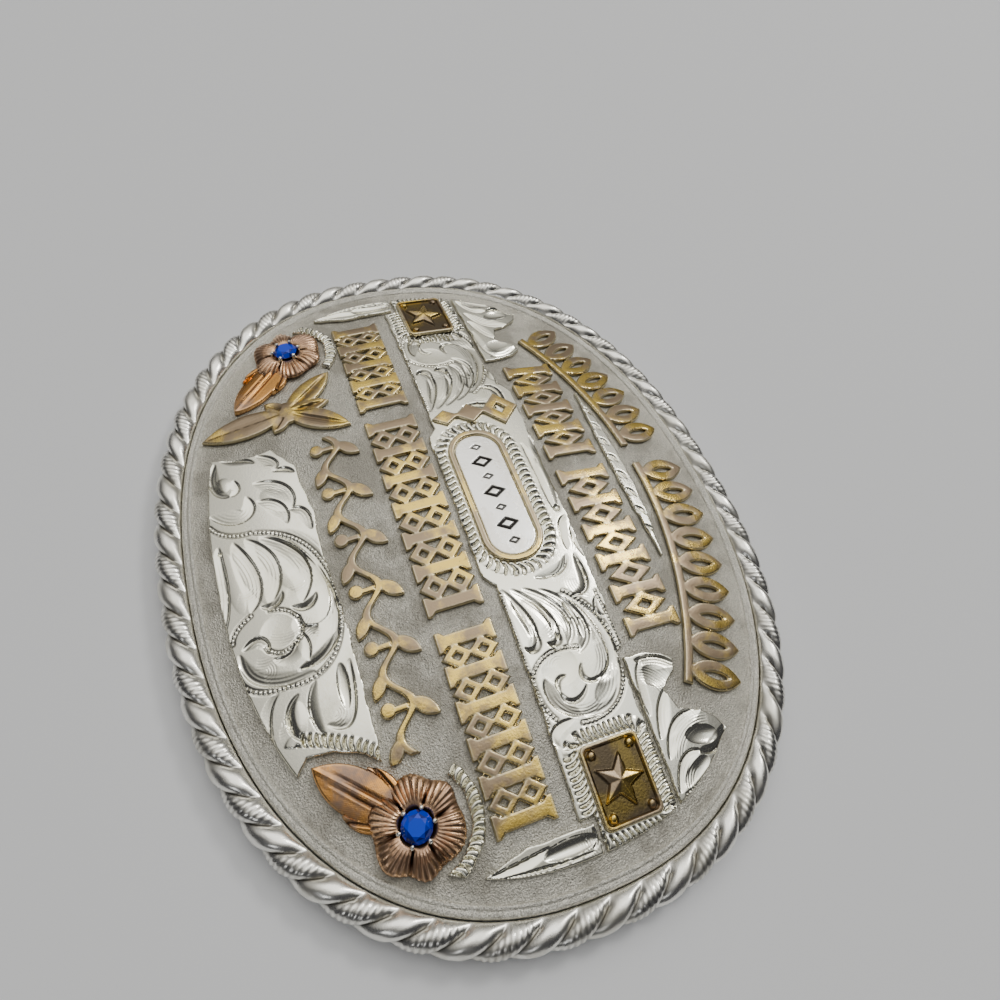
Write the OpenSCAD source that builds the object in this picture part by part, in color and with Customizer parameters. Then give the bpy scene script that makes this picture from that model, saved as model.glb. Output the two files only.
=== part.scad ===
// Western trophy buckle: a domed silver oval with a rope edge, raised panels, brass strips
// and ornaments, two copper flowers with blue stones, and a belt loop and post on the back.
// X runs along the buckle, Y is up as it is worn, and +Z points out of the face.
// The buckle lies on its back on the plane z = 0.

/* [Face] */
// Half length of the face, from its middle to the bead at an end
face_half_x = 44; // [42:0.5:46]
// Half height of the face, from its middle to the bead at the top
face_half_y = 33.9; // [33:0.1:35]
// Power of the outline, where 2 is an ellipse and more is squarer
face_power = 2.3; // [2.2:0.05:2.4]
// Rise of the dome from the bead to the middle of the face
dome_rise = 4.25; // [4:0.05:4.6]
// Height of the face at its ends above the rest plane
edge_z = 3.45; // [3.4:0.05:3.8]
// Thickness of the domed plate
plate_t = 1.2; // [1:0.05:1.25]
// Height of the thin bead round the face
bead_h = 0.35; // [0.2:0.05:0.5]
// Width of the bead
bead_w = 0.55; // [0.4:0.05:0.8]
// Width of the matte border between the bead and the panels
border_w = 3; // [2.8:0.1:3.2]

/* [Rope edge] */
// Radius of the rope
rope_r = 1.75; // [1.6:0.05:1.85]
// Distance of the rope's centre line outside the bead
rope_out = 1.85; // [1.8:0.05:2]
// Height of the rope's centre line
rope_z = 2.45; // [2.3:0.05:2.6]
// Pairs of strands, one plain and one knurled, all the way round
strand_pairs = 36; // [30:1:40]
// Depth of the valley between two strands, as a part of the rope's radius
strand_valley = 0.15; // [0.05:0.01:0.2]
// Distance that a strand leans along the edge as it crosses the rope
strand_lean = 6.5; // [4:0.5:8]

/* [Sheet metal] */
// Thickness of the raised silver panels
panel_t = 0.35; // [0.25:0.05:0.4]
// Thickness of the brass strips and ornaments
brass_t = 0.6; // [0.4:0.05:0.7]
// Gap between a piece and what it is set on
seat_gap = 0.05; // [0.04:0.01:0.06]

/* [Strips] */
// Inner radius of the curved strips at the top
arc_r = 55.7; // [55:0.1:56]
// Height of the curved strips
arc_h = 7.4; // [7:0.1:7.5]
// Height of the upper straight strips
upper_h = 7.2; // [6.8:0.1:7.2]
// Height of the middle of the upper straight strips above the face's middle
upper_y = 16.1; // [16:0.1:16.3]
// Height of the long strips
long_h = 6.7; // [6.2:0.1:6.8]
// Height of the middle of the long strips above the face's middle
long_y = -6.1; // [-6.3:0.1:-6]
// Width of a post in the strips
post_w = 1.5; // [1:0.05:1.5]

/* [Middle row] */
// Width of the long-sided oval label in the middle
label_w = 20; // [19:0.1:20]
// Height of that label
label_h = 7.8; // [7.4:0.1:7.8]
// Width of the label's brass rim
label_rim = 0.85; // [0.7:0.05:1]
// Width of the brass plate at each end
end_plate_w = 8.6; // [8:0.1:8.6]
// Height of those plates
end_plate_h = 7; // [6.6:0.1:7]

/* [Flowers] */
// Radius of a flower's head
flower_r = 4.7; // [4.5:0.1:4.8]
// Length of the leaf from the middle of the flower to its tip
leaf_l = 12.2; // [11.5:0.1:12.2]
// Radius of the stone
stone_r = 1.6; // [1.4:0.05:1.6]
// Number of prongs round the stone
prong_count = 6; // [4:1:6]

/* [Back] */
// Length of the belt loop's bar
loop_l = 44; // [40:1:44]
// Width of the loop's strap
loop_w = 4; // [3:0.5:4]
// Thickness of the loop's strap
loop_t = 1.2; // [1:0.1:1.25]
// Distance of the loop from the middle of the buckle
loop_x = 14; // [13:0.5:14.5]
// Radius of the post that goes through a hole in the belt
post_r = 1.5; // [1.25:0.05:1.75]
// Distance of the post from the middle of the buckle
post_x = 24; // [22:0.5:25]

/* [Hidden] */

silver = [0.86, 0.85, 0.82];
matte_silver = [0.62, 0.6, 0.56];
brass = [0.66, 0.52, 0.24];
copper = [0.66, 0.44, 0.32];
sapphire = [0.08, 0.16, 0.7];
nickel = [0.68, 0.68, 0.66];

// The dome is part of a barrel: one arc along X, turned about an axis that runs along X
dome_rx = face_half_x * face_half_x / (2 * dome_rise) + dome_rise / 2;
dome_ry = face_half_y * face_half_y / (2 * dome_rise) + dome_rise / 2;
apex_z = edge_z + dome_rise;
dome_reach = face_half_x + 6;
dome_turn = 2 * asin((face_half_y + 4) / dome_ry);
dome_fn = 720;
outline_fn = 120;
tall = 12;

// Heights above the matte ground of the face, measured along the dome's normal
panel_low = seat_gap;
panel_top_z = panel_low + panel_t;
on_panel = panel_top_z + seat_gap;
back_skin = plate_t + seat_gap;

// The rope is a ring of sections, four for each strand
strand_steps = 4;
rope_rings = 2 * strand_pairs * strand_steps;
rope_arc_steps = 9;
rope_wall = -rope_out + bead_w / 2 + 2 * seat_gap;
rope_from = acos(rope_wall / rope_r);
rope_to = -45;
path_steps = 720;

arc_y = -31.4;
flower_x = 32.4;
flower_y = -16.4;
label_y = 3.35;
label_x = -0.7;
end_x = 35.3;
end_y = 4.85;
sepal_turn = 19;

// A point of the face's outline, grown by a distance
function signed_power(v, p) = sign(v) * pow(abs(v), p);
function rim_point(t, grow) = [
    (face_half_x + grow) * signed_power(cos(t), 2 / face_power),
    (face_half_y + grow) * signed_power(sin(t), 2 / face_power)
];
// The unit vector that points out of the outline at a point of it
function rim_normal(p) =
    let (nx = signed_power(p.x / (face_half_x + rope_out), face_power - 1) / (face_half_x + rope_out),
         ny = signed_power(p.y / (face_half_y + rope_out), face_power - 1) / (face_half_y + rope_out))
    [nx, ny] / norm([nx, ny]);
function face_z(x, y) = apex_z - x * x / (2 * dome_rx) - y * y / (2 * dome_ry);

// A box with round corners, as a list of points
function round_box(w, h, r, steps = 8) = [
    for (corner = [0:3], k = [0:steps])
        let (a = 90 * corner + 90 * k / steps,
             cx = (corner == 0 || corner == 3) ? w / 2 - r : r - w / 2,
             cy = corner < 2 ? h / 2 - r : r - h / 2)
        [cx + r * cos(a), cy + r * sin(a)]
];

// Outlines and layers of the face

module rim_outline(grow) {
    polygon([for (k = [0:outline_fn - 1]) rim_point(360 * k / outline_fn, grow)]);
}

// The layer between two heights above the matte ground
module dome_layer(low, high) {
    translate([0, 0, apex_z - dome_ry])
        rotate([0, -90, 0])
            rotate([0, 0, -dome_turn / 2])
                rotate_extrude(angle = dome_turn, $fn = dome_fn)
                    intersection() {
                        difference() {
                            translate([dome_ry - dome_rx, 0]) circle(r = dome_rx + high, $fn = dome_fn);
                            translate([dome_ry - dome_rx, 0]) circle(r = dome_rx + low, $fn = dome_fn);
                        }
                        translate([dome_ry - 3 * tall, -dome_reach]) square([4 * tall, 2 * dome_reach]);
                    }
}

// A flat outline cut out of a layer of the dome
module on_face(low, high) {
    intersection() {
        linear_extrude(height = tall) children();
        dome_layer(low, high);
    }
}

// Stands a piece on the face, square to it
module stand_on_face(x, y) {
    translate([x, y, face_z(x, y)])
        rotate([-asin(y / dome_ry), asin(x / dome_rx), 0])
            children();
}

module mirrored(side) {
    mirror([side < 0 ? 1 : 0, 0, 0]) children();
}

// Face plate and rope edge

module face_plate() {
    color(matte_silver)
        difference() {
            on_face(-plate_t, bead_h) rim_outline(bead_w / 2);
            on_face(0, tall / 4) rim_outline(-bead_w / 2);
        }
}

// The rope's path by length: rows of [length, angle]
function path_rows() = [
    for (k = 0, s = 0; k <= path_steps;
         s = s + norm(rim_point(360 * (k + 1) / path_steps, rope_out)
                      - rim_point(360 * k / path_steps, rope_out)), k = k + 1)
        [s, 360 * k / path_steps]
];
// Section of the rope: rows of [out, height, part of the lean, part of the valley]
function rope_section() = concat(
    [[rope_wall, 0, 0, 0], [rope_wall, rope_z, 0, 0]],
    [for (k = [0:rope_arc_steps])
        let (q = k / rope_arc_steps, a = rope_from + (rope_to - rope_from) * q)
        [rope_r * cos(a), rope_z + rope_r * sin(a), q, min(1, 4 * q, 5 * (1 - q))]],
    [[rope_r * cos(rope_to), 0, 1, 0]]
);
function strand_scale(k, part) = 1 - part * strand_valley * pow(1 - sin(180 * k / strand_steps), 2);

module rope_edge() {
    rows = path_rows();
    total = rows[path_steps][0];
    section = rope_section();
    sides = len(section);
    points = [
        for (k = [0:rope_rings - 1], j = [0:sides - 1])
            let (cut = section[j],
                 s = (total * (1 + k / rope_rings) - strand_lean * cut[2]) % total,
                 p = rim_point(lookup(s, rows), rope_out),
                 f = strand_scale(k % strand_steps, cut[3]),
                 out = cut[0] * f,
                 z = cut[1] <= 0 ? 0 : rope_z + (cut[1] - rope_z) * f,
                 q = p + rim_normal(p) * out)
            [q.x, q.y, z]
    ];
    faces = [
        for (k = [0:rope_rings - 1], j = [0:sides - 1])
            let (a = k * sides + j,
                 b = k * sides + (j + 1) % sides,
                 c = ((k + 1) % rope_rings) * sides + (j + 1) % sides,
                 d = ((k + 1) % rope_rings) * sides + j)
            each [[a, b, c], [a, c, d]]
    ];
    color(silver) polyhedron(points = points, faces = faces, convexity = 6);
}

// Raised silver panels

module panel(mirror_side = 1) {
    color(silver)
        on_face(panel_low, panel_top_z)
            intersection() {
                rim_outline(-border_w);
                mirrored(mirror_side) children();
            }
}

module panel_middle() {
    panel() polygon([
        [-43, 0.9], [-37.6, 0.9], [-37.6, -0.9], [-12.6, -0.9], [-11.4, -2.1], [10, -2.1], [11.4, -0.9], [37.6, -0.9],
        [37.6, 0.9], [43, 0.9], [43, 10.1], [22.6, 10.1], [22.2, 11.1],
        [4.6, 11.4], [-8.6, 11.6], [-16.8, 12], [-19, 10.8], [-22.6, 10.1], [-43, 10.1]
    ]);
}

module corner_outline() {
    polygon([
        [23.4, 10.4], [23.6, 13.4], [24.2, 15.4], [25.2, 16.6], [26.6, 16], [28.3, 13.8],
        [30.4, 14.7], [31.2, 17], [32.6, 18.8], [34.2, 19.6], [44, 19.6], [44, 10.4]
    ]);
}

module panel_corner_left() {
    panel(-1) corner_outline();
}

module panel_corner_right() {
    panel() corner_outline();
}

module panel_top() {
    upper_bulge = 1.45;
    lower_bulge = 0.75;
    half = 14.5;
    upper_r = (half * half + upper_bulge * upper_bulge) / (2 * upper_bulge);
    lower_r = (half * half + lower_bulge * lower_bulge) / (2 * lower_bulge);
    panel()
        translate([-1.2, 21.5])
            intersection() {
                translate([0, upper_bulge - upper_r]) circle(r = upper_r, $fn = dome_fn);
                translate([0, lower_r - lower_bulge]) circle(r = lower_r, $fn = dome_fn);
            }
}

module panel_lower() {
    panel() polygon([
        [-17.2, -29.4], [-15.7, -25], [-16, -21.6], [-12.4, -19.2], [-8.6, -18.9], [-5.2, -18.3],
        [0, -18.6], [8, -18], [26, -18], [24.4, -19.6], [23.2, -22.4], [22.7, -25.2],
        [24.6, -26.8], [24.6, -34], [-17.2, -34]
    ]);
}

module side_outline() {
    polygon([[38, 0.6], [37.8, -7], [38.9, -11.5], [43, -11.5], [43, 0.6]]);
}

module panel_side_left() {
    panel(-1) side_outline();
}

module panel_side_right() {
    panel() side_outline();
}

// The band of border cuts beyond a flower's head
module flower_band() {
    inner = flower_r + 0.55;
    outer = inner + 1.55;
    steps = 18;
    from = 8;
    to = 132;
    translate([flower_x, flower_y])
        polygon(concat(
            [for (k = [0:steps]) let (a = from + (to - from) * k / steps) outer * [cos(a), sin(a)]],
            [for (k = [0:steps]) let (a = to + (from - to) * k / steps) inner * [cos(a), sin(a)]]
        ));
}

module panel_flower_left() {
    panel(-1) flower_band();
}

module panel_flower_right() {
    panel() flower_band();
}

// Brass strips: a row of upright leaves, or posts with lozenges between them

module lozenge(w, h) {
    polygon([[w / 2, 0], [0, h / 2], [-w / 2, 0], [0, -h / 2]]);
}

module post(h) {
    flare = 0.45;
    foot = 0.16 * h;
    polygon([
        for (s = [1, -1]) each [
            [s * (post_w / 2 + flare), s * h / 2], [-s * (post_w / 2 + flare), s * h / 2],
            [-s * (post_w / 2 + flare), s * (h / 2 - foot / 2)], [-s * post_w / 2, s * (h / 2 - foot)]
        ]
    ]);
}

module pierced_lozenge(w, h) {
    difference() {
        lozenge(w, h);
        lozenge(0.32 * w, 0.32 * h);
    }
}

// One tall lozenge, or a pair of small ones above each other
module lozenge_motif(tiers, w, h) {
    if (tiers == 1) pierced_lozenge(w, 0.86 * h);
    if (tiers == 2)
        for (s = [-1, 1]) translate([0, s * 0.225 * h]) pierced_lozenge(w, 0.55 * h);
}

// A straight strip from one x to another, with a post at each end
module strip_outline(from_x, to_x, y, h, count, tiers) {
    pitch = (to_x - from_x - post_w) / count;
    reach = pitch - post_w + 0.7;
    translate([from_x + post_w / 2, y]) {
        for (k = [0:count]) translate([k * pitch, 0]) post(h);
        for (k = [0:count - 1]) translate([(k + 0.5) * pitch, 0]) lozenge_motif(tiers, reach, h);
    }
}

// A curved strip of upright leaves on a rail, where the angles run clockwise from the top
module arc_outline(from_a, to_a, count) {
    rail = 1.1;
    turn = (to_a - from_a) / count;
    pitch = 2 * arc_r * tan(turn / 2);
    leaf_h = arc_h - 0.4 * rail;
    translate([0, arc_y])
        for (k = [0:count - 1])
            rotate(-from_a - (k + 0.5) * turn) translate([0, arc_r]) {
                translate([0, rail / 2]) square([1.03 * pitch, rail], center = true);
                translate([0, 0.4 * rail]) rotate(90) difference() {
                    leaf(leaf_h, 1.02 * pitch);
                    translate([0.3 * leaf_h, 0]) leaf(0.46 * leaf_h, 0.24 * pitch);
                }
            }
}

module brass_piece() {
    color(brass) on_face(seat_gap, seat_gap + brass_t) children();
}

module strip_arc_left() {
    brass_piece() arc_outline(-29.2, -4.6, 7);
}

module strip_arc_right() {
    brass_piece() arc_outline(-1.4, 30.3, 9);
}

module strip_upper_left() {
    brass_piece() strip_outline(-21.2, -4.4, upper_y, upper_h, 4, 1);
}

module strip_upper_right() {
    brass_piece() strip_outline(-1.6, 21.2, upper_y, upper_h, 5, 1);
}

module strip_long_left() {
    brass_piece() strip_outline(-35.2, -18.4, long_y, long_h, 4, 2);
}

module strip_long_middle() {
    brass_piece() strip_outline(-15.4, 12.4, long_y, long_h, 6, 2);
}

module strip_long_right() {
    brass_piece() strip_outline(15.2, 36, long_y, long_h, 5, 2);
}

// Brass ornaments

// A pointed leaf whose root is at the origin and whose tip points along +X
module leaf(l, w) {
    r = (l * l + w * w) / (4 * w);
    intersection() {
        translate([l / 2, w / 2 - r]) circle(r = r, $fn = dome_fn);
        translate([l / 2, r - w / 2]) circle(r = r, $fn = dome_fn);
    }
}

// A wavy stem with a leaf at each crest and a bud in each hollow
module vine_outline() {
    from = -15.4;
    to = 26;
    waves = 6;
    rise = 1.15;
    half = 0.5;
    steps = 72;
    length = (to - from) / waves;
    function stem_y(q) = rise * sin(360 * waves * q);
    translate([from, -14.7]) {
        polygon(concat(
            [for (k = [0:steps]) [(to - from) * k / steps, stem_y(k / steps) - half]],
            [for (k = [0:steps]) [(to - from) * (1 - k / steps), stem_y(1 - k / steps) + half]]
        ));
        for (k = [0:waves - 1]) {
            translate([(k + 0.2) * length, rise - 0.2]) rotate(48) leaf(3.6, 1.7);
            translate([(k + 0.7) * length, -rise + 0.2]) rotate(-32) leaf(3.2, 1.5);
            translate([(k + 0.28) * length, rise - 2.7]) circle(r = 0.85, $fn = 32);
            translate([(k + 0.3) * length, rise - 1.4]) square([0.7, 1.7], center = true);
        }
    }
}

module vine_ornament() {
    brass_piece() vine_outline();
}

// A tall spray of leaves: two that curl outwards, two short ones and a long one pointing down
module leaf_ornament() {
    brass_piece()
        translate([-21.3, -18.6]) rotate(4) {
            rotate(-90) translate([-0.6, 0]) leaf(11.8, 4);
            for (s = [-1, 1]) mirror([s < 0 ? 1 : 0, 0, 0]) {
                rotate(54) translate([-0.6, 0]) leaf(9.6, 3.4);
                rotate(-40) translate([-0.6, 0]) leaf(4.2, 2.2);
            }
            rotate(90) translate([-0.6, 0]) leaf(6.4, 2.5);
            circle(r = 1.9, $fn = 48);
        }
}

module lozenge_chain() {
    color(brass)
        on_face(on_panel, on_panel + 0.8 * brass_t)
            translate([-13.8, 0]) {
                translate([0, 8.9]) pierced_lozenge(5.6, 5.4);
                translate([0, 4.6]) lozenge(3.4, 4.4);
                translate([0, 1.1]) lozenge(2.6, 3.8);
                translate([0, 3.9]) square([0.7, 6], center = true);
            }
}

// Label in the middle and plates at the ends

module label_outline(inset) {
    h = label_h - 2 * inset;
    polygon(round_box(label_w - 2 * inset, h, 0.47 * h));
}

module label_rim() {
    color(brass)
        on_face(on_panel, on_panel + brass_t)
            translate([label_x, label_y])
                difference() {
                    label_outline(0);
                    label_outline(label_rim);
                }
}

module label_plate() {
    color(silver)
        on_face(on_panel, on_panel + 0.6 * brass_t)
            translate([label_x, label_y]) label_outline(label_rim + seat_gap);
}

// A star with one point up
module star(points, outer_r, inner_r) {
    polygon([
        for (k = [0:2 * points - 1])
            let (a = 90 + 180 * k / points, r = k % 2 == 0 ? outer_r : inner_r)
                [r * cos(a), r * sin(a)]
    ]);
}

module end_plate() {
    base_t = 0.5 * brass_t;
    star_y = -0.2;
    star_r = 2.8;
    star_waist = 1.25;
    stud = [3.15, 2.3];
    stud_r = 0.42;
    color(brass)
        difference() {
            on_face(on_panel, on_panel + brass_t)
                translate([end_x, end_y]) polygon(round_box(end_plate_w, end_plate_h, 0.8, 3));
            on_face(on_panel + base_t, on_panel + 3 * brass_t)
                translate([end_x, end_y]) difference() {
                    polygon(round_box(end_plate_w - 1, end_plate_h - 1, 0.5, 3));
                    translate([0, star_y]) star(5, star_r, star_waist);
                    for (x = [-1, 1], y = [-1, 1])
                        translate([x * stud[0], y * stud[1]]) circle(r = stud_r, $fn = 12);
                }
        }
}

module end_plate_left() {
    mirrored(-1) end_plate();
}

module end_plate_right() {
    end_plate();
}

// Flowers and stones

// Height of the fluted head by its radius: rows of [part of the radius, height]
head_rows = [[0.42, 0.8], [0.5, 1.3], [0.72, 1.25], [0.9, 0.95], [1, 0.55]];
head_sides = 48;
petals = 6;
flute = 0.1;

module flower_head() {
    base_z = 2 * seat_gap;
    function head_point(row, k) =
        let (a = 360 * k / head_sides,
             r = flower_r * row[0] * (1 + 0.05 * row[0] * cos(petals * a)),
             z = row[1] + (k % 2 == 0 ? flute : -flute) * row[0])
        [r * cos(a), r * sin(a), z];
    rows = len(head_rows);
    points = concat(
        [for (row = head_rows, k = [0:head_sides - 1]) head_point(row, k)],
        [for (k = [0:head_sides - 1]) let (p = head_point(head_rows[rows - 1], k)) [p.x, p.y, base_z]],
        [[0, 0, 0.8], [0, 0, base_z]]
    );
    top = (rows + 1) * head_sides;
    bottom = top + 1;
    function next(k) = (k + 1) % head_sides;
    faces = concat(
        [for (k = [0:head_sides - 1]) [top, next(k), k]],
        [for (i = [0:rows - 1], k = [0:head_sides - 1])
            let (a = i * head_sides + k, b = i * head_sides + next(k),
                 c = a + head_sides, d = b + head_sides)
            each [[a, b, d], [a, d, c]]],
        [for (k = [0:head_sides - 1]) [bottom, rows * head_sides + k, rows * head_sides + next(k)]]
    );
    polyhedron(points = points, faces = faces, convexity = 6);
}

module flower() {
    color(copper) {
        stand_on_face(flower_x, flower_y) {
            flower_head();
            for (k = [0:prong_count - 1])
                rotate(360 * (k + 0.5) / prong_count)
                    translate([stone_r + 0.36, 0, 0.5])
                        cylinder(r = 0.28, h = 1.35, $fn = 8);
        }
        on_face(seat_gap, 0.75)
            translate([flower_x, flower_y]) rotate(-135) {
                translate([1.5, 0]) leaf(leaf_l - 1.5, 4.6);
                for (s = [-1, 1]) rotate(s * sepal_turn) translate([2, 0]) leaf(0.62 * leaf_l - 2, 2.6);
            }
    }
}

module flower_left() {
    mirrored(-1) flower();
}

module flower_right() {
    flower();
}

// A round cut stone: an eight-sided table over a sixteen-sided girdle and a short point
module stone() {
    girdle_z = 1.25;
    color(sapphire)
        stand_on_face(flower_x, flower_y)
            hull() {
                translate([0, 0, girdle_z]) cylinder(r = stone_r, h = 0.15, $fn = 16);
                translate([0, 0, girdle_z]) rotate(22.5) cylinder(r = 0.58 * stone_r, h = 0.75, $fn = 8);
                translate([0, 0, 0.92]) cylinder(r = 0.5 * stone_r, h = 0.1, $fn = 8);
            }
}

module stone_left() {
    mirrored(-1) stone();
}

module stone_right() {
    stone();
}

// Back: a fixed belt loop near one end and a post near the other

module back_pad() {
    on_face(-back_skin - 0.8, -back_skin) children();
}

module belt_loop() {
    low = 0.15;
    foot = [9, 6];
    foot_y = loop_l / 2 - 1.5;
    color(nickel) {
        intersection() {
            translate([-loop_x - loop_w / 2, 0, 0])
                rotate([90, 0, 90])
                    linear_extrude(height = loop_w)
                        translate([0, tall / 2 + low])
                            difference() {
                                polygon(round_box(loop_l, tall, 2));
                                polygon(round_box(loop_l - 4, tall - 2 * loop_t, 1.2));
                            }
            dome_layer(-tall, -back_skin);
        }
        for (s = [-1, 1])
            back_pad() translate([-loop_x, s * foot_y]) square(foot, center = true);
    }
}

module belt_post() {
    tip = 0.35;
    chamfer = 0.3;
    shoulder_z = 3.9;
    shoulder_r = post_r + 1.1;
    color(nickel) {
        intersection() {
            translate([post_x, 0, 0]) {
                translate([0, 0, tip + chamfer]) cylinder(r = post_r, h = tall, $fn = 96);
                translate([0, 0, shoulder_z]) cylinder(r = shoulder_r, h = tall, $fn = 96);
            }
            dome_layer(-tall, -back_skin);
        }
        translate([post_x, 0, tip]) cylinder(r1 = post_r - chamfer, r2 = post_r, h = chamfer, $fn = 96);
        back_pad() translate([post_x, 0]) circle(r = 3.6, $fn = 96);
    }
}

face_plate();
rope_edge();
panel_middle();
panel_corner_left();
panel_corner_right();
panel_top();
panel_lower();
panel_side_left();
panel_side_right();
panel_flower_left();
panel_flower_right();
strip_arc_left();
strip_arc_right();
strip_upper_left();
strip_upper_right();
strip_long_left();
strip_long_middle();
strip_long_right();
vine_ornament();
leaf_ornament();
lozenge_chain();
label_rim();
label_plate();
end_plate_left();
end_plate_right();
flower_left();
flower_right();
stone_left();
stone_right();
belt_loop();
belt_post();
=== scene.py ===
"""Western trophy buckle: the finished look of every surface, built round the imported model.

The shapes are worked out in millimetres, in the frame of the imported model, and turned into metres
when a mesh is made. X runs along the buckle, Y is up as it is worn, +Z points out of the face.
"""

from __future__ import annotations

import logging
import math
from dataclasses import dataclass, replace
from enum import Enum
from typing import Callable, Iterable, Sequence

import bmesh
import bpy
import numpy as np
from bmesh.types import BMEdge, BMFace, BMVert
from mathutils import Euler, Matrix, Vector

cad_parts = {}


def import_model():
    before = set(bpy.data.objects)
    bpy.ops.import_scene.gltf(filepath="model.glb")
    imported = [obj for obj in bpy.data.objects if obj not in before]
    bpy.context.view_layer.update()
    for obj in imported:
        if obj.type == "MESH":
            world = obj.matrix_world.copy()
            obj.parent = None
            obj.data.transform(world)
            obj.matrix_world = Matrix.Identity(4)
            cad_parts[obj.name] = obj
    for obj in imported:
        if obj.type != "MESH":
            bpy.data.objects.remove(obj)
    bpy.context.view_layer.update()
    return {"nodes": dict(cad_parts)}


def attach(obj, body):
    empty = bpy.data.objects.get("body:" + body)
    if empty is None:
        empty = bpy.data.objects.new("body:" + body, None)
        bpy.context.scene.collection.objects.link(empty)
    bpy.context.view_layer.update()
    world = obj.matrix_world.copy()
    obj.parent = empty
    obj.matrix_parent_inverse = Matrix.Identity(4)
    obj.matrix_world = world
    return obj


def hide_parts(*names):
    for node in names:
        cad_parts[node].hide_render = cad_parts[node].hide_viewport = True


LOG = logging.getLogger("buckle")
MM = 0.001
BODY = "root"

Array = np.ndarray
Point = tuple[float, float]
Triple = tuple[float, float, float]
Box = tuple[float, float, float, float]
Shape = bmesh.types.BMesh
Piece = bpy.types.Object
Socket = bpy.types.NodeSocket
Outline = Callable[[Array, Array], Array]


class Slot(Enum):
    """Names of the material slots."""

    MATTE = "matte_silver"
    BRIGHT = "polished_silver"
    BRASS = "brass"
    COPPER = "copper"
    STONE = "blue_stone"
    BACK = "nickel_back"


class Flare(Enum):
    """The side of a cut that slopes away gently, seen along the cut."""

    LEFT = 1
    RIGHT = -1
    BOTH = 0


# Signed distances, negative inside, in millimetres


def lens_distance(x: Array, y: Array, length: float, width: float) -> Array:
    """Distance to a pointed leaf with its root at the origin and its tip along +X.

    Args:
        x: Places along the leaf.
        y: Places across it.
        length: Length of the leaf.
        width: Greatest width.

    Returns:
        Signed distances, negative inside.
    """
    r = (length**2 + width**2) / (4 * width)
    upper = np.hypot(x - length / 2, y - (width / 2 - r)) - r
    lower = np.hypot(x - length / 2, y - (r - width / 2)) - r
    return np.maximum(upper, lower)


def lozenge_distance(x: Array, y: Array, width: float, height: float) -> Array:
    """Signed distance to a lozenge that is centred on the origin."""
    a, b = width / 2, height / 2
    return (np.abs(x) * b + np.abs(y) * a - a * b) / math.hypot(a, b)


def box_distance(x: Array, y: Array, width: float, height: float, radius: float = 0.0) -> Array:
    """Signed distance to a box with round corners that is centred on the origin.

    Args:
        x: Places along X.
        y: Places along Y.
        width: Width of the box.
        height: Height of the box.
        radius: Radius of its corners.

    Returns:
        Signed distance to the box round the origin.
    """
    dx = np.abs(x) - (width / 2 - radius)
    dy = np.abs(y) - (height / 2 - radius)
    outside = np.hypot(np.maximum(dx, 0), np.maximum(dy, 0))
    return outside + np.minimum(np.maximum(dx, dy), 0) - radius


def polygon_distance(x: Array, y: Array, corners: Sequence[Point]) -> Array:
    """Signed distance to a closed polygon.

    Args:
        x: Places along X.
        y: Places along Y.
        corners: The polygon's corners in order.

    Returns:
        Signed distances, negative inside.
    """
    best = np.full(x.shape, 1e9)
    inside = np.zeros(x.shape, bool)
    for (x0, y0), (x1, y1) in zip(corners, [*corners[1:], corners[0]]):
        ex, ey = x1 - x0, y1 - y0
        part = np.clip(((x - x0) * ex + (y - y0) * ey) / (ex * ex + ey * ey), 0, 1)
        best = np.minimum(best, np.hypot(x - x0 - part * ex, y - y0 - part * ey))
        if y0 != y1:
            crosses = (y0 > y) != (y1 > y)
            inside ^= crosses & (x < x0 + (y - y0) * ex / ey)
    return np.where(inside, -best, best)


def turned(x: Array, y: Array, place: Point, degrees: float) -> tuple[Array, Array]:
    """Coordinates in a frame that stands at a place and is turned anticlockwise.

    Args:
        x: Places along X.
        y: Places along Y.
        place: The new origin.
        degrees: Turn of the new axes.

    Returns:
        The places along both new axes.
    """
    a = math.radians(degrees)
    dx, dy = x - place[0], y - place[1]
    return dx * math.cos(a) + dy * math.sin(a), dy * math.cos(a) - dx * math.sin(a)


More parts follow.
